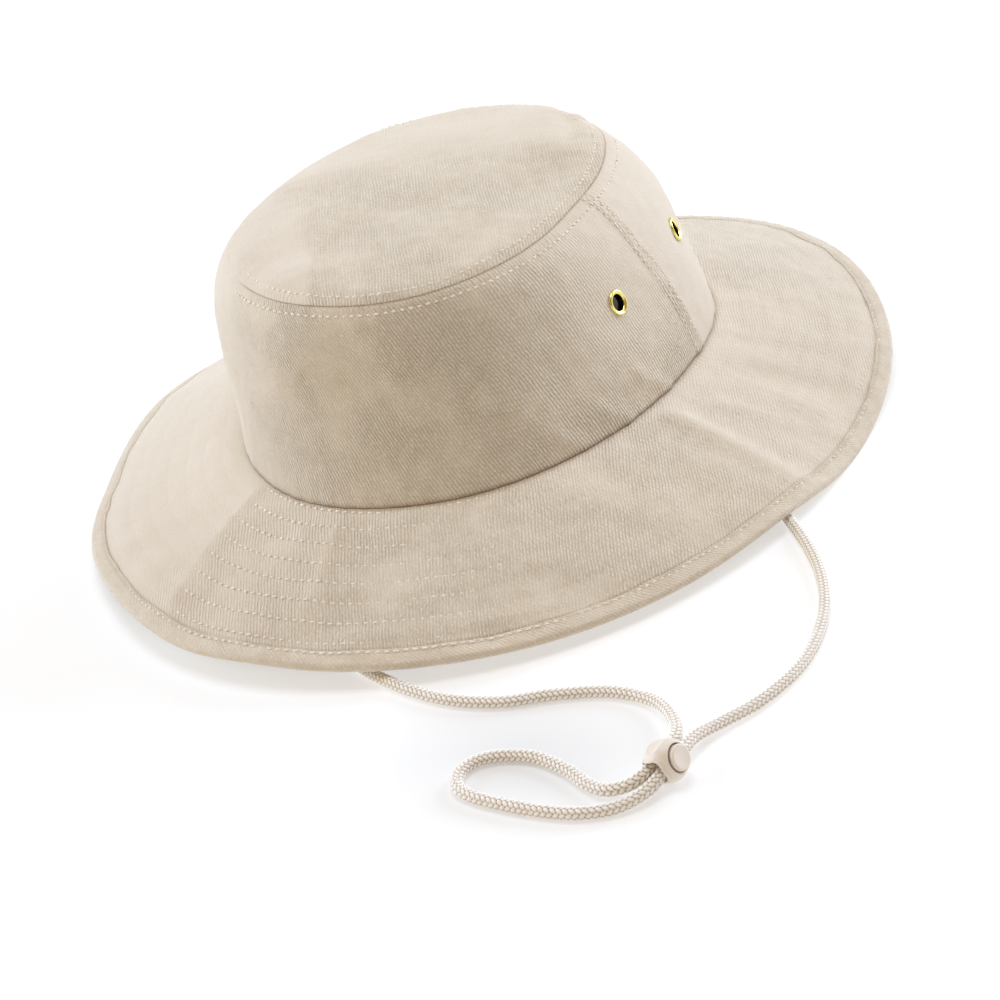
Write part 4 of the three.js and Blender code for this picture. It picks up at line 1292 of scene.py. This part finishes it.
# Painted shadows in the floor's glow: none under the hat, a grey patch in the cord's loop; the last row
# brightens the floor far off
FLOOR_SHADES = [
    {"place": (0, 0), "half": (0.146, 0.174), "from": 0.74, "soft": 0.2, "near": (0, 0, 0, 1), "far": WHITE},
    {"place": (0.112, -0.188), "half": (0.062, 0.046), "from": 0, "soft": 1, "near": (0.56, 0.55, 0.54, 1),
     "far": WHITE},
    {"place": (0, 0), "half": (1, 1), "from": 1.2, "soft": 3, "near": WHITE, "far": (1.8, 1.8, 1.8, 1)},
]
corners = [(x * FLOOR_REACH, y * FLOOR_REACH, 0) for x, y in ((-1, -1), (1, -1), (1, 1), (-1, 1))]
floor_mesh = bpy.data.meshes.new("floor")
floor_mesh.from_pydata(corners, [], [(0, 1, 2, 3)])
paper, paper_inputs, start = new_finish("floor_paper", 0.9, Specular_IOR_Level=0.1)
paper_inputs["Base Color"].default_value = paint(188, 188, 188)
spot = start.parts(start.spot())
glow = start.mix(1.0, WHITE, WHITE)
for shade in FLOOR_SHADES:
    away_x = (spot - shade["place"][0]) / shade["half"][0]
    away_y = (spot.other(1) - shade["place"][1]) / shade["half"][1]
    far = start.maths("SQRT", away_x * away_x + away_y * away_y)
    lit = ((far - shade["from"]) / shade["soft"]).clamp()
    glow = start.mix(1.0, glow, start.mix(lit, shade["near"], shade["far"]), "MULTIPLY")
start.join(glow, paper_inputs["Emission Color"])
paper_inputs["Emission Strength"].default_value = FLOOR_GLOW
floor_mesh.materials.append(paper)
added("floor", floor_mesh)

CAMERA = {"place": (0.40964, -0.66477, 0.3678), "right": (0.882, 0.443, -0.161),
          "up": (-0.0775, 0.4744, 0.8769), "lens": 83.96}
lens = bpy.data.cameras.new("camera")
lens.lens = CAMERA["lens"]
lens.sensor_width = 36
camera = added("camera", lens)
right = Vector(CAMERA["right"]).normalized()
back_way = right.cross(Vector(CAMERA["up"])).normalized()
camera.matrix_world = (Matrix.Translation(CAMERA["place"])
                       @ Matrix((right, back_way.cross(right), back_way)).transposed().to_4x4())
bpy.context.scene.camera = camera

# Lamps, sizes and places in metres
LAMP_SIZE = 1.2
LAMP_AIM = (0, 0, 0.05)
LAMPS = [
    {"name": "top_lamp", "place": (0, 0, 2.2), "power": 27, "colour": (0.76, 0.86, 1.0)},
    {"name": "left_lamp", "place": (-1.9, -0.2, 0.7), "power": 28.5, "colour": (0.52, 0.72, 1.0)},
    {"name": "back_lamp", "place": (0.9, 1.7, 0.9), "power": 39.5, "colour": (0.7, 0.82, 1.0)},
    {"name": "front_lamp", "place": (-1.6, -1.3, 1.0), "power": 10.0, "colour": (1.0, 0.86, 0.64)},
]
for row in LAMPS:
    light = bpy.data.lights.new(row["name"], "AREA")
    light.size = LAMP_SIZE
    light.energy = row["power"]
    light.color = row["colour"]
    lamp = added(row["name"], light)
    lamp.location = row["place"]
    lamp.rotation_euler = (Vector(LAMP_AIM) - Vector(row["place"])).to_track_quat("-Z", "Y").to_euler()

ROOM = {"walls": (0.72, 0.71, 0.7, 1), "ceiling": (0.28, 0.168, 0.036, 1), "walls_end": 0.12, "soft": 0.1}
world = bpy.data.worlds.new("studio")
world.use_nodes = True
background = world.node_tree.nodes["Background"].inputs["Color"]
start = Socket(world.node_tree)
up = start.parts(start.node("ShaderNodeTexCoord")).other(2)
ceiling = ((up - ROOM["walls_end"]) / ROOM["soft"]).clamp()
start.join(start.mix(ceiling, ROOM["walls"], ROOM["ceiling"]), background)
bpy.context.scene.world = world
bpy.context.scene.view_settings.view_transform = "Standard"
bpy.context.scene.view_settings.look = "None"
